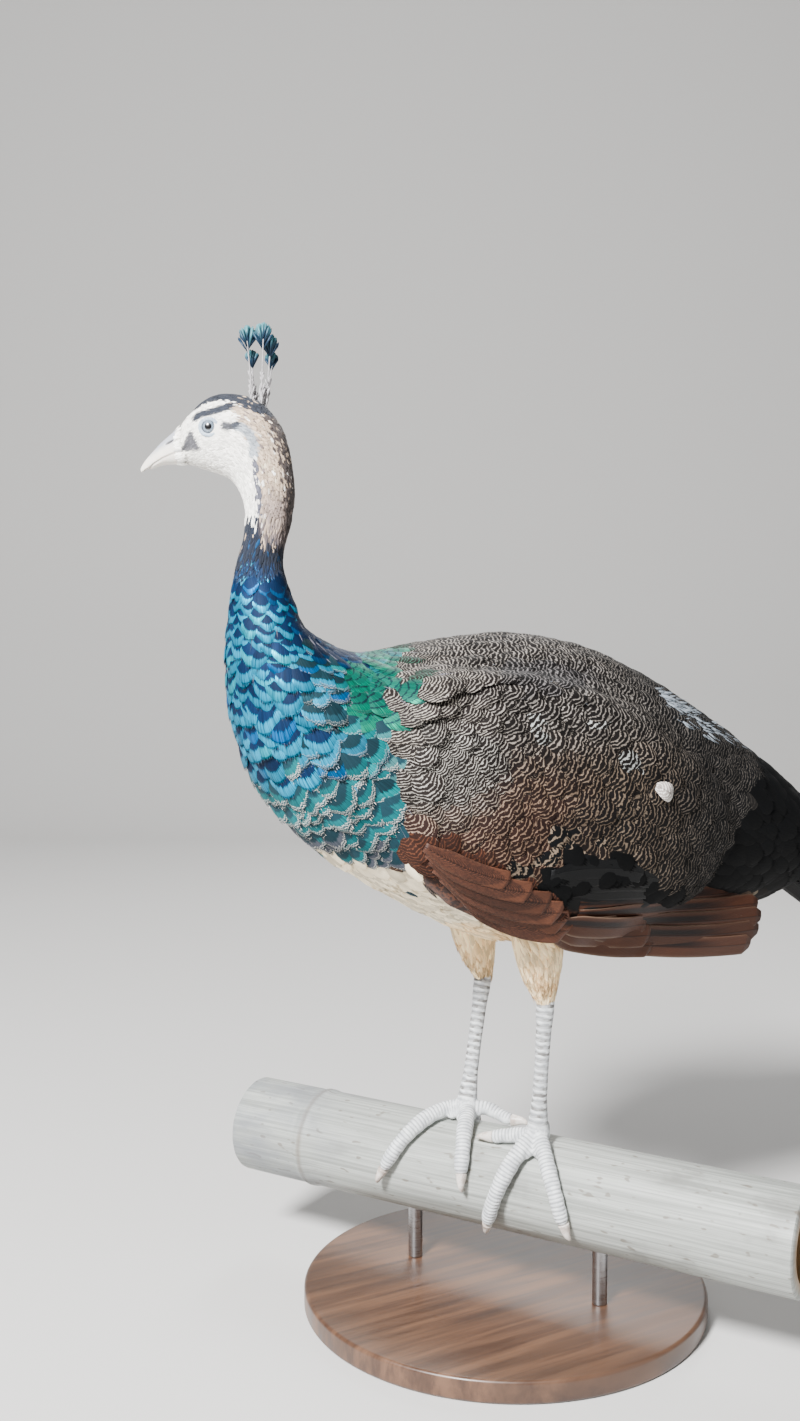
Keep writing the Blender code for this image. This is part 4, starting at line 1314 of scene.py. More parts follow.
def make_flight_feathers(materials):
    """The long feathers of both folded wings."""
    surface = surface_of("wing_left", "wing_right", "primaries_left", "primaries_right", "trunk")
    make_loose_feather(surface, materials)
    for side, sign in (("left", -1), ("right", 1)):
        quills = [(look, quill) for look, rows in WING_QUILLS for quill in rows]
        blades = [wing_blade(surface, sign, *quill) for _, quill in quills]
        obj = joined_blades("flight_feathers_" + side, blades, [look for look, _ in quills])
        finished(obj, materials["quill"], "chestnut_feathers", "primaries_" + side)


TAIL_ROOT, TAIL_TIP = Vector((0.262, 0, 0.232)), Vector((0.588, 0, 0.0485))
TAIL_LIFT = Vector((0.49, 0, 0.87))  # out of the tail's upper side
TAIL_FAN = (-1, 1, -0.82, 0.82, -0.64, 0.64, -0.46, 0.46, -0.28, 0.28, -0.1, 0.1)
TAIL_STEPS, COVERT_STEPS = 18, 14
COVERTS_ROUND = 17
COVERT_TIERS = (0.215, 0.155, 0.100)  # how far each ring of tail coverts reaches


def tail_blade(number, fan):
    """One tail feather of the closed fan, its place across it from -1 to 1."""
    along = TAIL_TIP - TAIL_ROOT
    reach = 1 - 0.10 * fan * fan - 0.015 * (number % 2)
    dome = -0.010 * fan * fan + 0.0009 * number - 0.0065
    rows = []
    for k, wide in enumerate(blade_widths(TAIL_STEPS, 0.019, 0.86)):
        t = k / (TAIL_STEPS - 1)
        out_by = fan * (0.020 + 0.017 * smooth(t, 0, 0.8))
        middle = TAIL_ROOT + along * (t * reach) + Vector((0, out_by, LIFT))
        middle += TAIL_LIFT * (dome - 0.010 * 4 * t * (1 - t) * 0.6 + 0.006 * (1 - t))
        rows.append((middle, Vector((0, wide, 0)) - TAIL_LIFT * (0.32 * fan * wide), TAIL_LIFT))
    return blade(rows, 8, 0.0006)


def covert_blade(surface, tier, turn, length):
    """One feather of the rings that cover the root of the tail."""
    along = (TAIL_TIP - TAIL_ROOT).normalized()
    wide_by = 0.046
    rows = []
    for k, wide in enumerate(blade_widths(COVERT_STEPS, 0.0125 - 0.001 * tier, 0.75)):
        run = 0.001 + length * k / (COVERT_STEPS - 1)
        high_by = float(np.interp(run, (0, 0.05, 0.15, 0.25), (0.045, 0.036, 0.018, 0.013)))
        centre = TAIL_ROOT + along * run + Vector((0, 0, LIFT))
        middle = centre + Vector((0, wide_by * cos(turn), 0)) + TAIL_LIFT * high_by * sin(turn)
        way = (middle - centre).normalized()
        hit = surface.ray_cast(centre + way * 0.2, -way, 0.2)[0]
        if hit:
            middle = hit - way * (0.0032 - 0.0008 * tier)
        across = Vector((0, -wide_by * sin(turn), 0)) + TAIL_LIFT * high_by * cos(turn)
        across = across.normalized() * min(wide, 0.5 * (middle - centre).length + 0.004)
        out_of = Vector((0, cos(turn), 0)) + TAIL_LIFT * sin(turn)
        rows.append((middle, across, out_of.normalized()))
    return blade(rows, 6, 0.0005)


def make_tail(materials):
    """Two rows of broad feathers in a closed, slightly domed fan, and rings of coverts."""
    blades = [tail_blade(k, fan) for k, fan in enumerate(TAIL_FAN)]
    surface = surface_of("tail", "trunk")
    random = np.random.default_rng(5)
    for tier, reach in enumerate(COVERT_TIERS):
        for k in range(COVERTS_ROUND):
            turn = 2 * pi * (k + 0.5 * tier) / COVERTS_ROUND
            blades.append(covert_blade(surface, tier, turn, reach * random.uniform(0.88, 1.06)))
    looks = [TAIL_LOOK] * len(TAIL_FAN) + [COVERT_LOOK] * (len(blades) - len(TAIL_FAN))
    obj = joined_blades("tail_feathers", blades, looks)
    finished(obj, materials["quill"], "tail_feathers", "tail")


# ---------------------------------------------------------------- legs and feet
HOCK = (0.0078, 0.045, 0.1197)
PALM_HEIGHT = 0.0105
SCUTE = 0.0029  # from ring to ring along a toe
SHANK_SCUTE = 0.0056
TOE_STEPS, SHANK_STEPS, CLAW_STEPS = 40, 60, 14
FEET = {  # palm and toes: radius, arch, then (along the perch, degrees round it)
    "left": ((0.0370, 18), {
        "hallux": (0.0056, 0, (0.0280, -14), (0.0225, -38)),
        "inner": (0.0062, 0, (0.014, 24), (-0.001, 29)),
        "middle": (0.0070, 0, (0.029, 42), (0.0175, 80), (0.0055, 120)),
        "outer": (0.0066, 0, (0.049, 36), (0.066, 71), (0.0745, 100)),
    }),
    "right": ((-0.0380, -4), {
        "hallux": (0.0056, 0, (-0.043, -30), (-0.046, -52)),
        "inner": (0.0060, 0.004, (-0.018, -11), (0.003, -12)),
        "middle": (0.0070, 0, (-0.030, 12), (-0.020, 48), (-0.0162, 74)),
        "outer": (0.0068, 0, (-0.054, 6), (-0.0715, 44), (-0.0890, 86)),
    }),
}
PERCH_LINE = np.array((cos(PERCH_ANGLE), sin(PERCH_ANGLE), 0))
PERCH_FRONT = np.array((sin(PERCH_ANGLE), -cos(PERCH_ANGLE), 0))


def curved(rows, count):
    """Rows of numbers joined by a smooth curve through them all."""
    rows = np.array(rows, float)
    rows = np.vstack((2 * rows[0] - rows[1], rows, 2 * rows[-1] - rows[-2]))
    made = []
    for at in np.linspace(0, len(rows) - 3 - 1e-9, count):
        k, t = int(at), at % 1
        a, b, c, d = rows[k : k + 4]
        made.append(0.5 * (2 * b + (c - a) * t + (2 * a - 5 * b + 4 * c - d) * t**2
                           + (3 * b - a - 3 * c + d) * t**3))
    return made


def on_perch(along, degrees, over):
    """A point over the perch: metres along it, degrees round it to the front, and out."""
    angle = radians(degrees)
    out_of = np.array((0, 0, cos(angle))) + PERCH_FRONT * sin(angle)
    middle = PERCH_LINE * along + (0, 0, LIFT - PERCH_RADIUS)
    return middle + out_of * (PERCH_RADIUS + over), out_of


def toe_path(palm, places, radius, arch):
    """Places, outward ways and radii from the middle of the palm to the toe's end."""
    rows = []
    for k, (along, degrees) in enumerate(curved([palm, *places], TOE_STEPS)):
        t = k / (TOE_STEPS - 1)
        wide = radius * (1 - 0.24 * t * t)
        rest = wide + 0.0006
        bow = arch * t**2 * (1 - t) ** 3 / (0.4**2 * 0.6**3)
        over = rest + (PALM_HEIGHT - rest) * (1 - t) ** 4 + bow
        rows.append((*np.ravel(on_perch(along, degrees, over)), wide))
    return np.array(rows)


def tube(build, path, radii, outward, sides=12, flat=1.0):
    """A closed tube through a path with rounded ends."""
    rings = []
    ahead = unit(np.gradient(path, axis=0))
    for point, radius, way, up in zip(path, radii, ahead, outward):
        across = np.cross(way, up)
        across /= np.linalg.norm(across)
        up = np.cross(across, way)
        rings.append([
            build.verts.new(point + (across * cos(a) + up * sin(a) * flat) * radius)
            for a in np.arange(sides) * 2 * pi / sides
        ])
    join_rings(build, rings)
    build.faces.new(reversed(rings[0]))
    build.faces.new(rings[-1])


def join_rings(build, rings):
    """Faces from each ring of points to the next."""
    sides = len(rings[0])
    for one, two in zip(rings, rings[1:]):
        for a, b in ((k, (k + 1) % sides) for k in range(sides)):
            build.faces.new((one[a], one[b], two[b], two[a]))


def rounded(radii, ends=3):
    """Radii that close softly at the far end."""
    radii = np.array(radii, float)
    for k in range(ends):
        radii[-1 - k] *= sin(pi / 2 * (k + 0.6) / (ends + 0.4))
    return radii


def leg_shape(side, sign):
    """One lower leg and foot in the rough, with samples that say how far along its middle
    line and on which part each place is, and the toes' paths."""
    palm_at, toes = FEET[side]
    palm = on_perch(*palm_at, PALM_HEIGHT)[0]
    hock = np.array((HOCK[0], sign * HOCK[1], HOCK[2] + LIFT))
    mesh = bpy.data.meshes.new("leg_" + side)
    with shaping(mesh) as build:
        t = np.linspace(0, 1, SHANK_STEPS)
        shank = hock + (palm - hock) * t[:, None]
        radii = np.interp(t, (0, 0.12, 0.25, 0.5, 0.75, 0.9, 1),
                          (0.0072, 0.0073, 0.0062, 0.0057, 0.0060, 0.0078, 0.0095))
        ahead = np.tile((-1.0, 0, 0), (SHANK_STEPS, 1))
        tube(build, shank, radii, ahead, 20)
        long = np.linalg.norm(palm - hock)
        down = np.tile((palm - hock) / long, (SHANK_STEPS, 1))
        samples = [np.c_[shank, ahead, t * long, np.zeros(SHANK_STEPS), down]]
        paths = {}
        for toe, (radius, arch, *places) in toes.items():
            paths[toe] = path = toe_path(palm_at, places, radius, arch)
            middle, out_of, radii = path[:, :3], path[:, 3:6], path[:, 6]
            run = np.r_[0, np.cumsum(np.linalg.norm(np.diff(middle, axis=0), axis=1))]
            knuckles = 1 + 0.03 * np.sin(run / run[-1] * 2 * pi * 2.5 + 0.6)
            tube(build, middle, rounded(radii * knuckles), out_of, 18)
            way = unit(np.gradient(middle, axis=0))
            samples.append(np.c_[middle, out_of, run, np.ones(len(run)), way])
        for one, two, reach in (("inner", "middle", 0.40), ("middle", "outer", 0.42)):
            for share in (0.3, 0.5, 0.7):  # the webs between the toes
                count = int(reach * TOE_STEPS * (1 - 0.35 * (share == 0.5)))
                path = paths[one][:count] * (1 - share) + paths[two][:count] * share
                fall = np.linspace(0, 1, count) ** 1.5
                middle = path[:, :3] - path[:, 3:6] * (0.0035 * fall)[:, None]
                tube(build, middle, rounded(path[:, 6] * (1 - 0.45 * fall)), path[:, 3:6], 12)
        bmesh.ops.create_uvsphere(build, u_segments=24, v_segments=16, radius=0.0102,
                                  matrix=Matrix.Translation(Vector(palm)))
    return mesh, palm, np.concatenate(samples), paths


def make_legs(materials):
    """Lower legs and feet with rings of scutes, pads, webs and claws."""
    for side, sign in (("left", -1), ("right", 1)):
        mesh, palm, samples, paths = leg_shape(side, sign)
        leg = linked("leg_" + side, mesh)
        mesh, points = remeshed(leg, FOOT_VOXEL, 8)
        near = np.empty(len(points), int)
        for i in range(0, len(points), 8000):
            d = ((points[i : i + 8000, None] - samples[None, :, :3]) ** 2).sum(2)
            near[i : i + 8000] = d.argmin(1)
        hit = samples[near]
        middle, out_of, middle_run, on_toe, way = (
            hit[:, :3], hit[:, 3:6], hit[:, 6], hit[:, 7], hit[:, 8:])
        facing = normals(mesh)
        upper = smooth((facing * out_of).sum(1), -0.25, 0.35)
        run = middle_run + ((points - middle) * way).sum(1)
        run += np.where(on_toe > 0, 0.0002, 0.0007) * ripple(points, 0.014, 2.0)
        ridge = np.abs(np.sin(pi * run / np.where(on_toe > 0, SCUTE, SHANK_SCUTE))) ** 0.8
        off_palm = smooth(np.linalg.norm(points - palm, axis=1), 0.008, 0.014)
        ridge = ridge * off_palm + (1 - off_palm) * (0.7 + 0.3 * ripple(points, 0.004, 5.0))
        pads = 0.0002 * np.sin(middle_run * 2 * pi / 0.011) * (1 - upper) * on_toe
        pores = 0.00006 * ripple(points, 0.0024, 3.0)
        height = np.where(on_toe > 0, 0.00055, 0.00045) * (ridge - 0.8) * upper
        put_points(mesh, points + facing * (height + pads + pores)[:, None])
        for name, values in (("ridge", 1 - (1 - ridge) * (0.35 + 0.65 * upper)),
                             ("shank", (1 - on_toe) * off_palm), ("run", run / SHANK_SCUTE)):
            attribute(mesh, name, values, "FLOAT")
        finished(leg, materials["scales"], "leg_scales", "tarsus_" + side, "foot_" + side)

        mesh = bpy.data.meshes.new("claws_" + side)
        with shaping(mesh) as build:
            for path in paths.values():
                end, up = path[-1, :3], path[-1, 3:6]
                way = end - path[-3, :3]
                way -= up * (way @ up)
                way /= np.linalg.norm(way)
                t = np.linspace(0, 1, CLAW_STEPS)[:, None]
                rise = 0.0078 * t * t * (1 - t) - 0.0014 * t**3
                line = end + way * (0.0142 * t - 0.0012) + up * rise
                tube(build, line, 0.0040 * (1 - t[:, 0]) ** 0.6 + 0.0004,
                     np.tile(up, (CLAW_STEPS, 1)), 14, 1.15)
        names = ["claw_" + toe + "_" + side for toe in paths]
        finished(linked("claws_" + side, mesh), materials["claw"], "claw_horn", *names)


# ---------------------------------------------------------------- head details
BILL_VOXEL = 0.00045
BILL_ROOT = (-0.2715, 0, 0.5435)
NOSTRIL_AT = (-0.2800, 0.5452)


def make_bill(materials):
    """Both halves of the bill with a gape line and nostrils, rooted under the feathers."""
    bill = from_nodes("bill", "bill_upper", "bill_lower")
    root = head_turned(np.array([BILL_ROOT]))[0] + (0, 0, LIFT)
    shape = Matrix.Translation(Vector(root)) @ Matrix.Rotation(HEAD_TURN, 4, "Z")
    shape = shape @ Matrix.Rotation(radians(12), 4, "Y")
    shape = shape @ Matrix.Diagonal((0.0065, 0.0072, 0.0105, 1))
    with shaping(bill.data, outward=False) as build:
        bmesh.ops.create_uvsphere(build, u_segments=24, v_segments=16, radius=1, matrix=shape)
    mesh, points = remeshed(bill, BILL_VOXEL, 10)
    x, y, z = straight(points - (0, 0, LIFT)).T
    facing = normals(mesh)
    gape = np.interp(x, (-0.3020, -0.2956, -0.2922, -0.2852, -0.2788, -0.2700),
                     (0.5245, 0.5262, 0.5296, 0.5337, 0.5364, 0.5386))
    groove = smooth(np.abs(z - gape), 0.0011, 0.0002) * smooth(x, -0.3000, -0.2970)
    back, high = x - NOSTRIL_AT[0], z - NOSTRIL_AT[1]
    nostril = smooth((back / 0.0030) ** 2 + ((high - 0.5 * back) / 0.0009) ** 2, 1.6, 0.4)
    nostril *= smooth(np.abs(y), 0.001, 0.003)
    culmen = smooth(z - gape, 0.004, 0.011) * smooth(x, -0.300, -0.290)
    sunk = 0.0004 * groove + 0.0009 * nostril - 0.0003 * smooth(x, -0.2800, -0.2735)
    put_points(mesh, points - facing * sunk[:, None])
    for name, values in (("groove", groove * 0.45 * smooth(x, -0.272, -0.280)),
                         ("nostril", nostril), ("culmen", culmen)):
        attribute(mesh, name, values, "FLOAT")
    return finished(bill, materials["bill"], "bill_horn", "bill_upper", "bill_lower")


LID_STEPS, LID_SIDES = 64, 16


def eyelids(name, middle, out_of, up):
    """A ring of bare skin round an eye."""
    mesh = bpy.data.meshes.new(name)
    ahead = out_of.cross(up)
    with shaping(mesh) as build:
        rings = []
        for turn in (2 * pi * k / LID_STEPS for k in range(LID_STEPS)):
            spoke = up * sin(turn) + ahead * cos(turn)
            tilt = radians(40 + 2.5 * cos(2 * turn) - 2.0 * sin(turn))
            normal = out_of * cos(tilt) + spoke * sin(tilt)
            seat = middle + normal * (EYE_RADIUS + 0.00015)
            over = (spoke - out_of * 0.06).normalized()
            thick = 0.00058 + 0.00010 * sin(turn * 9) ** 2
            rings.append([
                build.verts.new(seat + normal * (sin(a) * thick * 0.8)
                                + over * (cos(a) * thick * 2.0 + thick * 1.7))
                for a in (2 * pi * k / LID_SIDES for k in range(LID_SIDES))
            ])
        join_rings(build, rings + rings[:1])
    return linked(name, mesh)


def make_eyes(materials):
    """Glossy eyes with iris and pupil, each in a ring of fine bare lids."""
    spin = Matrix.Rotation(HEAD_TURN, 3, "Z")
    for side, sign in (("left", -1), ("right", 1)):
        middle = head_turned(np.array([EYE_PLACE * (1, sign, 1)]))[0] + (0, 0, LIFT)
        out_of = (spin @ Vector((-0.10, sign, 0.04))).normalized()
        up = Vector((0, 0, 1))
        up = (up - out_of * up.dot(out_of)).normalized()
        profile = []
        for a in np.linspace(0.0, pi, 40)[1:-1]:
            bulge = 1 + 0.018 * smooth(a, 0.75, 0.2)
            profile.append((EYE_RADIUS * 0.99 * bulge * cos(a), EYE_RADIUS * 0.99 * sin(a)))
        eye = lathe("eyeball_" + side, profile, middle, out_of, up, 48)
        p = unit(places_of(eye.data) - middle)
        attribute(eye.data, "angle", np.arccos(np.clip(p @ np.array(out_of), -1, 1)), "FLOAT")
        finished(eye, materials["eye"], "eye_glass", "eye_" + side)
        lids = eyelids("eyelids_" + side, Vector(middle), out_of, up)
        finished(lids, materials["lid"], "face_feathers")


CREST = (  # root x and y, tip x, y and z
    (-0.2200, -0.0020, -0.2255, -0.0060, 0.6295),
    (-0.2180, 0.0020, -0.2235, 0.0040, 0.6130),
    (-0.2140, -0.0030, -0.2110, -0.0080, 0.6310),
    (-0.2120, 0.0030, -0.2035, 0.0080, 0.6120),
    (-0.2110, 0.0000, -0.2055, -0.0010, 0.6235),
)
CREST_ROOT_Z = 0.5675
CREST_FACE = np.array((cos(radians(-120)), sin(radians(-120)), 0))  # the fans' flat side
CREST_SIDE = np.cross((0, 0, 1), CREST_FACE)
FAN_BARBS, FAN_SPREAD = 40, 34
SHAFT_BARBS, TUFT_BARBS = 44, 14
BARB_POINTS = 10


def sliver(build, start, lean, off, length, width, thick=0.00012):
    """A thin pointed barb as a closed blade, leaning to one side and off the fan's face."""
    way = np.array((0, 0, 1)) * cos(lean) + CREST_SIDE * sin(lean) + CREST_FACE * off
    way /= np.linalg.norm(way)
    across = np.cross(way, CREST_FACE)
    across /= max(np.linalg.norm(across), 1e-9)
    front, back = ([
        build.verts.new(start + way * length * t + across * width * w + CREST_FACE * thick * layer)
        for t, w in ((0, -0.15), (0, 0.15), (0.86, 0.5), (1, 0.0), (0.86, -0.5))
    ] for layer in (1, -1))
    build.faces.new(front)
    build.faces.new(reversed(back))
    for a, b in ((k, (k + 1) % 5) for k in range(5)):
        build.faces.new((front[b], front[a], back[a], back[b]))


def make_crest(materials):
    """Thin pale shafts with a few short barbs, each ending in a fan of blue-green ones."""
    random = np.random.default_rng(8)
    for number, (root_x, root_y, *tip) in enumerate(CREST, 1):
        root, tip = head_turned(np.array([(root_x, root_y, CREST_ROOT_Z), tip])) + (0, 0, LIFT)
        t = np.linspace(0, 1, 16)
        line = tip + (root - tip) * ((1 - t) ** 0.7)[:, None]
        line[:, 2] = root[2] + (tip[2] - root[2]) * t
        line = line[:13]
        neck = line[-1]
        mesh = bpy.data.meshes.new(f"crest_{number}")
        with shaping(mesh) as build:
            tube(build, line, np.linspace(0.00062, 0.00036, 13), [CREST_FACE] * 13, 8)
            shaft_verts = len(build.verts)
            for _ in range(FAN_BARBS):
                spread = np.clip(random.normal(0, 20), -FAN_SPREAD, FAN_SPREAD)
                start = neck - (neck - line[-3]) * random.uniform(0, 1)
                off = random.normal(0, 0.10)
                reach = (tip[2] - start[2]) * (1.0 - 0.42 * (spread / FAN_SPREAD) ** 2)
                reach *= random.uniform(0.93, 1.0) / max(cos(radians(spread)), 0.8)
                sliver(build, start, radians(spread), off, reach * 0.97, 0.0021)
            fan_verts = len(build.verts)
            for k in range(SHAFT_BARBS):
                at = random.uniform(0.3, 6.0) if k < TUFT_BARBS else random.uniform(0.5, 3.4)
                start = line[int(at)] + (line[int(at) + 1] - line[int(at)]) * (at % 1)
                sway = random.choice((-1, 1)) * radians(random.uniform(5, 22))
                off = random.normal(0, 0.2)
                sliver(build, start, sway, off, random.uniform(0.004, 0.0085), 0.0010)
        order = np.arange(len(mesh.vertices))
        fan = ((order >= shaft_verts) & (order < fan_verts)).astype(float)
        up = (places_of(mesh)[:, 2] - neck[2]) / (tip[2] - neck[2])
        for name, values in (("fan", fan), ("high", np.clip(up, 0, 1) * fan),
                             ("apart", np.floor(order / BARB_POINTS) % 7 / 7)):
            attribute(mesh, name, values, "FLOAT")
        finished(linked(f"crest_{number}", mesh), materials["crest"], "crest_feathers",
                 f"crest_feather_{number}")


# ---------------------------------------------------------------- perch and stand
END_ROUND = 0.0022  # how far the rounding of the perch's cut ends reaches in
BASE_ROUND = 0.003


def perch_profile():
    """Distances along the perch and radii, from the bottom of one hollow to the other's."""
    half = PERCH_LENGTH / 2
    end = [(BORE_DEPTH, 0.004), (BORE_DEPTH - 0.002, BORE_RADIUS * 0.7),
           (BORE_DEPTH - 0.006, BORE_RADIUS), (0.016, BORE_RADIUS), (0.004, BORE_RADIUS),
           (0.0008, BORE_RADIUS), (0, BORE_RADIUS + 0.0006), (0, PERCH_RADIUS - END_ROUND),
           (0.0005, PERCH_RADIUS - END_ROUND / 2)]
    at = np.arange(-half + 0.0012, half - 0.001, 0.0016)
    off = at - NODE_RING_AT
    swell = (0.0014 * np.exp(-((off / 0.0045) ** 2)) - 0.0010 * np.exp(-((off / 0.0009) ** 2))
             - 0.0005 * np.exp(-(((off + 0.0075) / 0.0012) ** 2)))
    return ([(-half + a, radius) for a, radius in end]
            + list(zip(at, PERCH_RADIUS - 0.0002 + swell))
            + [(half - a, radius) for a, radius in reversed(end)])


def make_perch(materials):
    """Weathered bamboo with a node, cut ends and hollows."""
    centre = (0, 0, LIFT - PERCH_RADIUS)
    perch = lathe("bamboo", perch_profile(), centre, PERCH_LINE, (0, 0, 1), 128)
    points = places_of(perch.data)
    off = points - centre
    along = off @ PERCH_LINE
    turn = np.arctan2(off @ PERCH_FRONT, off[:, 2])
    spoke = off - along[:, None] * PERCH_LINE
    radius = np.linalg.norm(spoke, axis=1)
    outer = smooth(radius, PERCH_RADIUS - 0.004, PERCH_RADIUS - 0.002)
    dents = 0.00022 * np.sin(3 * turn + 9 * along) + 0.00012 * np.sin(17 * turn + 30 * along)
    put_points(perch.data, points + unit(spoke) * ((dents - 0.0003) * outer)[:, None])
    attribute(perch.data, "grain", np.stack((along, np.sin(turn) * PERCH_RADIUS,
                                             np.cos(turn) * PERCH_RADIUS), 1))
    attribute(perch.data, "inside", 1 - outer, "FLOAT")
    finished(perch, materials["bamboo"], "bamboo", "perch", sharp=50)


def make_stand(materials):
    """A round wooden base with a rounded rim, and two steel rods."""
    up, ahead = (0, 0, 1), (1, 0, 0)
    rim, quarter = BASE_RADIUS - BASE_ROUND, np.linspace(0, pi / 2, 8)
    flat = [0.002, *np.linspace(0.02, BASE_RADIUS - 0.004, 12)]
    edge = [(0.0, r) for r in flat]
    edge += [(BASE_ROUND - BASE_ROUND * cos(a), rim + BASE_ROUND * sin(a)) for a in quarter]
    edge += [(BASE_THICK - BASE_ROUND + BASE_ROUND * sin(a), rim + BASE_ROUND * cos(a))
             for a in quarter]
    edge += [(BASE_THICK, r) for r in reversed(flat)]
    base = lathe("display_base", edge, (0, 0, 0), up, ahead, 160)
    finished(base, materials["wood"], "stand_wood", "stand_base", sharp=40)
    for number in (1, 2):
        low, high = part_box(f"stand_rod_{number}")
        foot = ((low[0] + high[0]) / 2, (low[1] + high[1]) / 2, low[2])
        long, slim = high[2] - low[2], ROD_RADIUS - 0.0003
        profile = [(0, 0.001), (0, slim), (0.0003, ROD_RADIUS)]
        profile += [(a, ROD_RADIUS) for a in np.linspace(0.004, long - 0.004, 10)]
        profile += [(long - 0.0003, ROD_RADIUS), (long, slim), (long, 0.001)]
        rod = lathe(f"display_rod_{number}", profile, foot, up, ahead, 40)
        finished(rod, materials["steel"], "stand_steel", f"stand_rod_{number}", sharp=40)


# ---------------------------------------------------------------- materials of bare parts
def bare_materials(materials):
    """The finishes of scales, horn, eyes, crest, bamboo, wood and steel."""

    def begin(key, name):
        """A new material, by its tree and its place on the object."""
        materials[key], tree = new_material(name)
        return tree, object_place(tree)

    tree, place = begin("scales", "leg_scales")
    patches, ridge = noise(place, 160.0, 3.0), named(tree, "ridge")
    colour = blend(ramp(patches, 0.35, 0.65), (226, 229, 230), (194, 197, 200))
    colour = blend(ramp(ridge, 0.85, 0.35) * 0.6, colour, (112, 114, 118))
    bars = ramp(maths("SINE", named(tree, "run") * (2 * pi)), -0.3, 0.5) * named(tree, "shank")
    bars = bars * ramp(patches, 0.35, 0.6, 1.0, 0.45)
    shade(tree, blend(bars, colour, (104, 102, 100)), noise(place, 1500.0) + ridge, 0.00025,
          Roughness=0.55, Specular_IOR_Level=0.35)

    tree, place = begin("claw", "claw_horn")
    lines = noise(place, 900.0, 3.0)
    share = ramp(noise(place, 150.0, 1.0) + lines * 0.4, 0.55, 0.85)
    shade(tree, blend(share, (216, 208, 200), (172, 158, 148)), lines, 0.0001, Roughness=0.38)

    tree, place = begin("bill", "bill_horn")
    colour = blend(noise(place, 220.0, 3.0), (238, 232, 222), (216, 208, 198))
    colour = blend(named(tree, "culmen") * 0.75, colour, (132, 142, 160))
    colour = blend(named(tree, "groove"), colour, (120, 108, 100))
    # The nostrils painted near black: painted shade of an opening that is only a shallow dent in
    # the bill.
    colour = blend(named(tree, "nostril"), colour, (52, 48, 50))
    shade(tree, colour, noise(place, 1100.0, 3.0), 0.00012, Roughness=0.36,
          Subsurface_Weight=0.08, Subsurface_Radius=(0.002, 0.001, 0.0006))

    tree, place = begin("eye", "eye_glass")
    angle = named(tree, "angle")
    iris = blend(ramp(noise(place, 1400.0), 0.35, 0.65), (84, 96, 110), (128, 142, 156))
    colour = blend(ramp(angle, 0.32, 0.36), (8, 8, 10), iris)
    shade(tree, blend(ramp(angle, 0.54, 0.64), colour, (30, 32, 40)), Roughness=0.25,
          Coat_Weight=1.0, Coat_Roughness=0.02)

    tree, place = begin("lid", "eyelid_skin")
    share = ramp(noise(place, 700.0, 3.0), 0.35, 0.7)
    shade(tree, blend(share, (172, 188, 204), (126, 142, 162)), noise(place, 2200.0), 0.0001,
          Roughness=0.45)

    tree, place = begin("crest", "crest_barbs")
    fan = named(tree, "fan")
    share = ramp(named(tree, "high") + named(tree, "apart") * 0.35, 0.35, 1.1)
    pale = blend(noise(place, 500.0), (188, 186, 188), (118, 112, 112))
    shade(tree, blend(fan, pale, blend(share, (18, 44, 66), (74, 132, 140))), Roughness=0.5,
          Metallic=fan * 0.35)

    tree, place = begin("bamboo", "bamboo")
    place = named(tree, "grain", "Vector")
    along = along_axes(place)[0]
    fibres = grain(place, (6.0, 420.0, 420.0), 4.0, 0.65)
    streaks = grain(place, (5.0, 60.0, 60.0), 3.0)
    stains = grain(place, (14.0, 26.0, 26.0), 4.0, 0.6)
    dots = grain(place, (90.0, 200.0, 200.0), 1.0)
    ring = maths("ABSOLUTE", along - NODE_RING_AT)
    far = ramp(along, -0.10, -0.22) * ramp(stains, 0.35, 0.6)
    colour = blend(ramp(fibres, 0.30, 0.72), (130, 133, 128), (176, 179, 174))
    for share, paint in ((ramp(streaks, 0.45, 0.75, 0.0, 0.5), (128, 130, 126)),
                         (ramp(stains, 0.52, 0.72, 0.0, 0.65), (108, 108, 104)),
                         (ramp(dots, 0.66, 0.74, 0.0, 0.6), (92, 80, 66)),
                         (ramp(ring, 0.0, 0.004, 0.6, 0.0), (104, 92, 78)),
                         (far * 0.55, (112, 116, 124)), (named(tree, "inside"), (150, 122, 88))):
        colour = blend(share, colour, paint)
    shade(tree, colour, fibres + dots * 0.4, 0.0004, Roughness=ramp(streaks, 0.3, 0.7, 0.48, 0.66))

    tree, place = begin("wood", "stand_wood")
    fibres = grain(place, (7.0, 130.0, 40.0), 4.0, 0.6, distortion=0.3)
    figure = grain(place, (2.5, 22.0, 8.0), 3.0, distortion=0.8)
    colour = blend(ramp(fibres, 0.3, 0.7), (66, 44, 32), (104, 74, 54))
    colour = blend(ramp(figure, 0.45, 0.62, 0.0, 0.55), colour, (48, 32, 24))
    shade(tree, colour, fibres, 0.0003, 0.35, Roughness=ramp(fibres, 0.3, 0.7, 0.34, 0.46),
          Coat_Weight=0.25, Coat_Roughness=0.25)

    tree, place = begin("steel", "stand_steel")
    lines = grain(place, (60.0, 60.0, 2600.0))
    shade(tree, blend(lines, (150, 150, 152), (184, 184, 186)), lines, 0.0001, 0.3,
          Metallic=1.0, Roughness=ramp(lines, 0.3, 0.7, 0.26, 0.42))


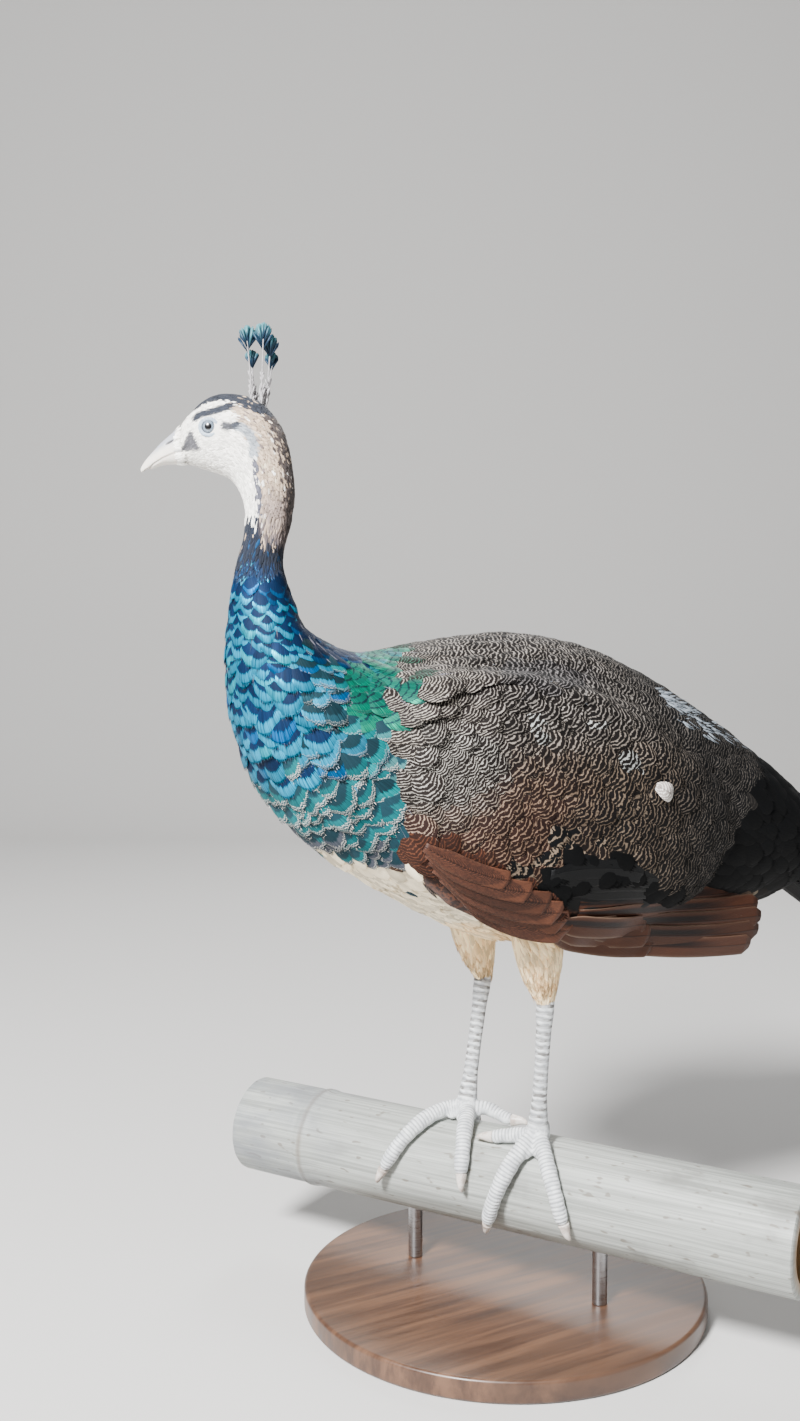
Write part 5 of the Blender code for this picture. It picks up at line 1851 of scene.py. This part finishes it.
# ---------------------------------------------------------------- everything together
FLOOR_DEPTH, FLOOR_HEIGHT, FLOOR_BEND = 3.2, 3.0, 0.8
LAMPS = (  # name, place, aim, size, watts
    ("key", (-1.9, -1.0, 2.1), (-0.05, 0, 0.45), 0.6, 330),
    ("fill", (1.6, -2.0, 1.3), (0, 0, 0.4), 1.6, 11),
    ("rim", (1.2, 1.6, 1.9), (0, 0, 0.5), 1.0, 30),
)
VIEW_TURN = radians(-30)
CAMERA_PLACE = (-0.6754, -0.9976, 0.4315 + LIFT)
CAMERA_TILT = radians(90 - 4.2)
CAMERA_LENS, CAMERA_SENSOR = 38.0, 36


def make_setting():
    """Pale floor that curves up behind, soft lights and the camera."""
    away = Matrix.Rotation(VIEW_TURN, 4, "Z")
    start = FLOOR_DEPTH - FLOOR_BEND
    profile = [(-2.5, 0.0), (start, 0.0)]
    profile += [(start + FLOOR_BEND * sin(a), FLOOR_BEND - FLOOR_BEND * cos(a))
                for a in np.linspace(0.1, pi / 2, 12)]
    profile.append((FLOOR_DEPTH, FLOOR_HEIGHT))
    n = len(profile)
    points = [away @ Vector((x, y, z)) for x in (-4.5, 4.5) for y, z in profile]
    mesh = mesh_of("studio_floor", points, [(n + i, n + i + 1, i + 1, i) for i in range(n - 1)])
    mesh.shade_smooth()
    material, tree = new_material("studio_paper")
    shader = tree.nodes["Principled BSDF"]
    shader.inputs["Base Color"].default_value = (0.60, 0.59, 0.575, 1)
    shader.inputs["Roughness"].default_value = 0.9
    mesh.materials.append(material)
    floor = linked("studio_floor", mesh)

    for name, place, aim, size, watts in LAMPS:
        light = bpy.data.lights.new(name, "AREA")
        light.shape, light.size, light.energy = "DISK", size, watts
        lamp = linked(name, light)
        lamp.location = place
        lamp.rotation_euler = (Vector(aim) - Vector(place)).to_track_quat("-Z", "Y").to_euler()
    world = bpy.data.worlds.new("studio")
    world.use_nodes = True
    sky = world.node_tree.nodes["Background"]
    sky.inputs[0].default_value = (0.80, 0.82, 0.85, 1)
    sky.inputs[1].default_value = 0.20
    bpy.context.scene.world = world

    camera = linked("camera", bpy.data.cameras.new("camera"))
    camera.data.sensor_width, camera.data.lens = CAMERA_SENSOR, CAMERA_LENS
    camera.location = CAMERA_PLACE
    camera.rotation_euler = (CAMERA_TILT, 0, VIEW_TURN)
    bpy.context.scene.camera = camera


def main():
    """Makes every piece, with the feathers on the skin first."""
    colours = feather_group()
    materials = {
        key: plumage_material(name, colours, *values) for key, name, *values in (
            # fan, shaft, roughness, sheen, relief, gloss
            ("body", "body_plumage", 1.0, 0.0, 0.7, 0.0, 0.0003, 0.10),
            ("neck", "neck_plumage", 1.0, 0.0, 0.6, 0.0, 0.0003, 0.08),
            ("down", "soft_plumage", 1.0, 0.0, 0.8, 0.12, 0.0002, 0.22),
            ("quill", "flight_plumage", 0.0, 0.8, 0.42, 0.0, 0.0003, 0.15),
        )
    }
    bare_materials(materials)
    skin, grow_coat = make_skin(), coat_grower()
    make_plumage(skin.data, grow_coat, materials)
    finished(skin, materials["down"], "body_feathers", *FLESH)
    make_flight_feathers(materials)
    make_tail(materials)
    make_legs(materials)
    make_bill_feathers(make_bill(materials), grow_coat, materials)
    make_eyes(materials)
    make_crest(materials)
    make_perch(materials)
    make_stand(materials)
    make_setting()


main()
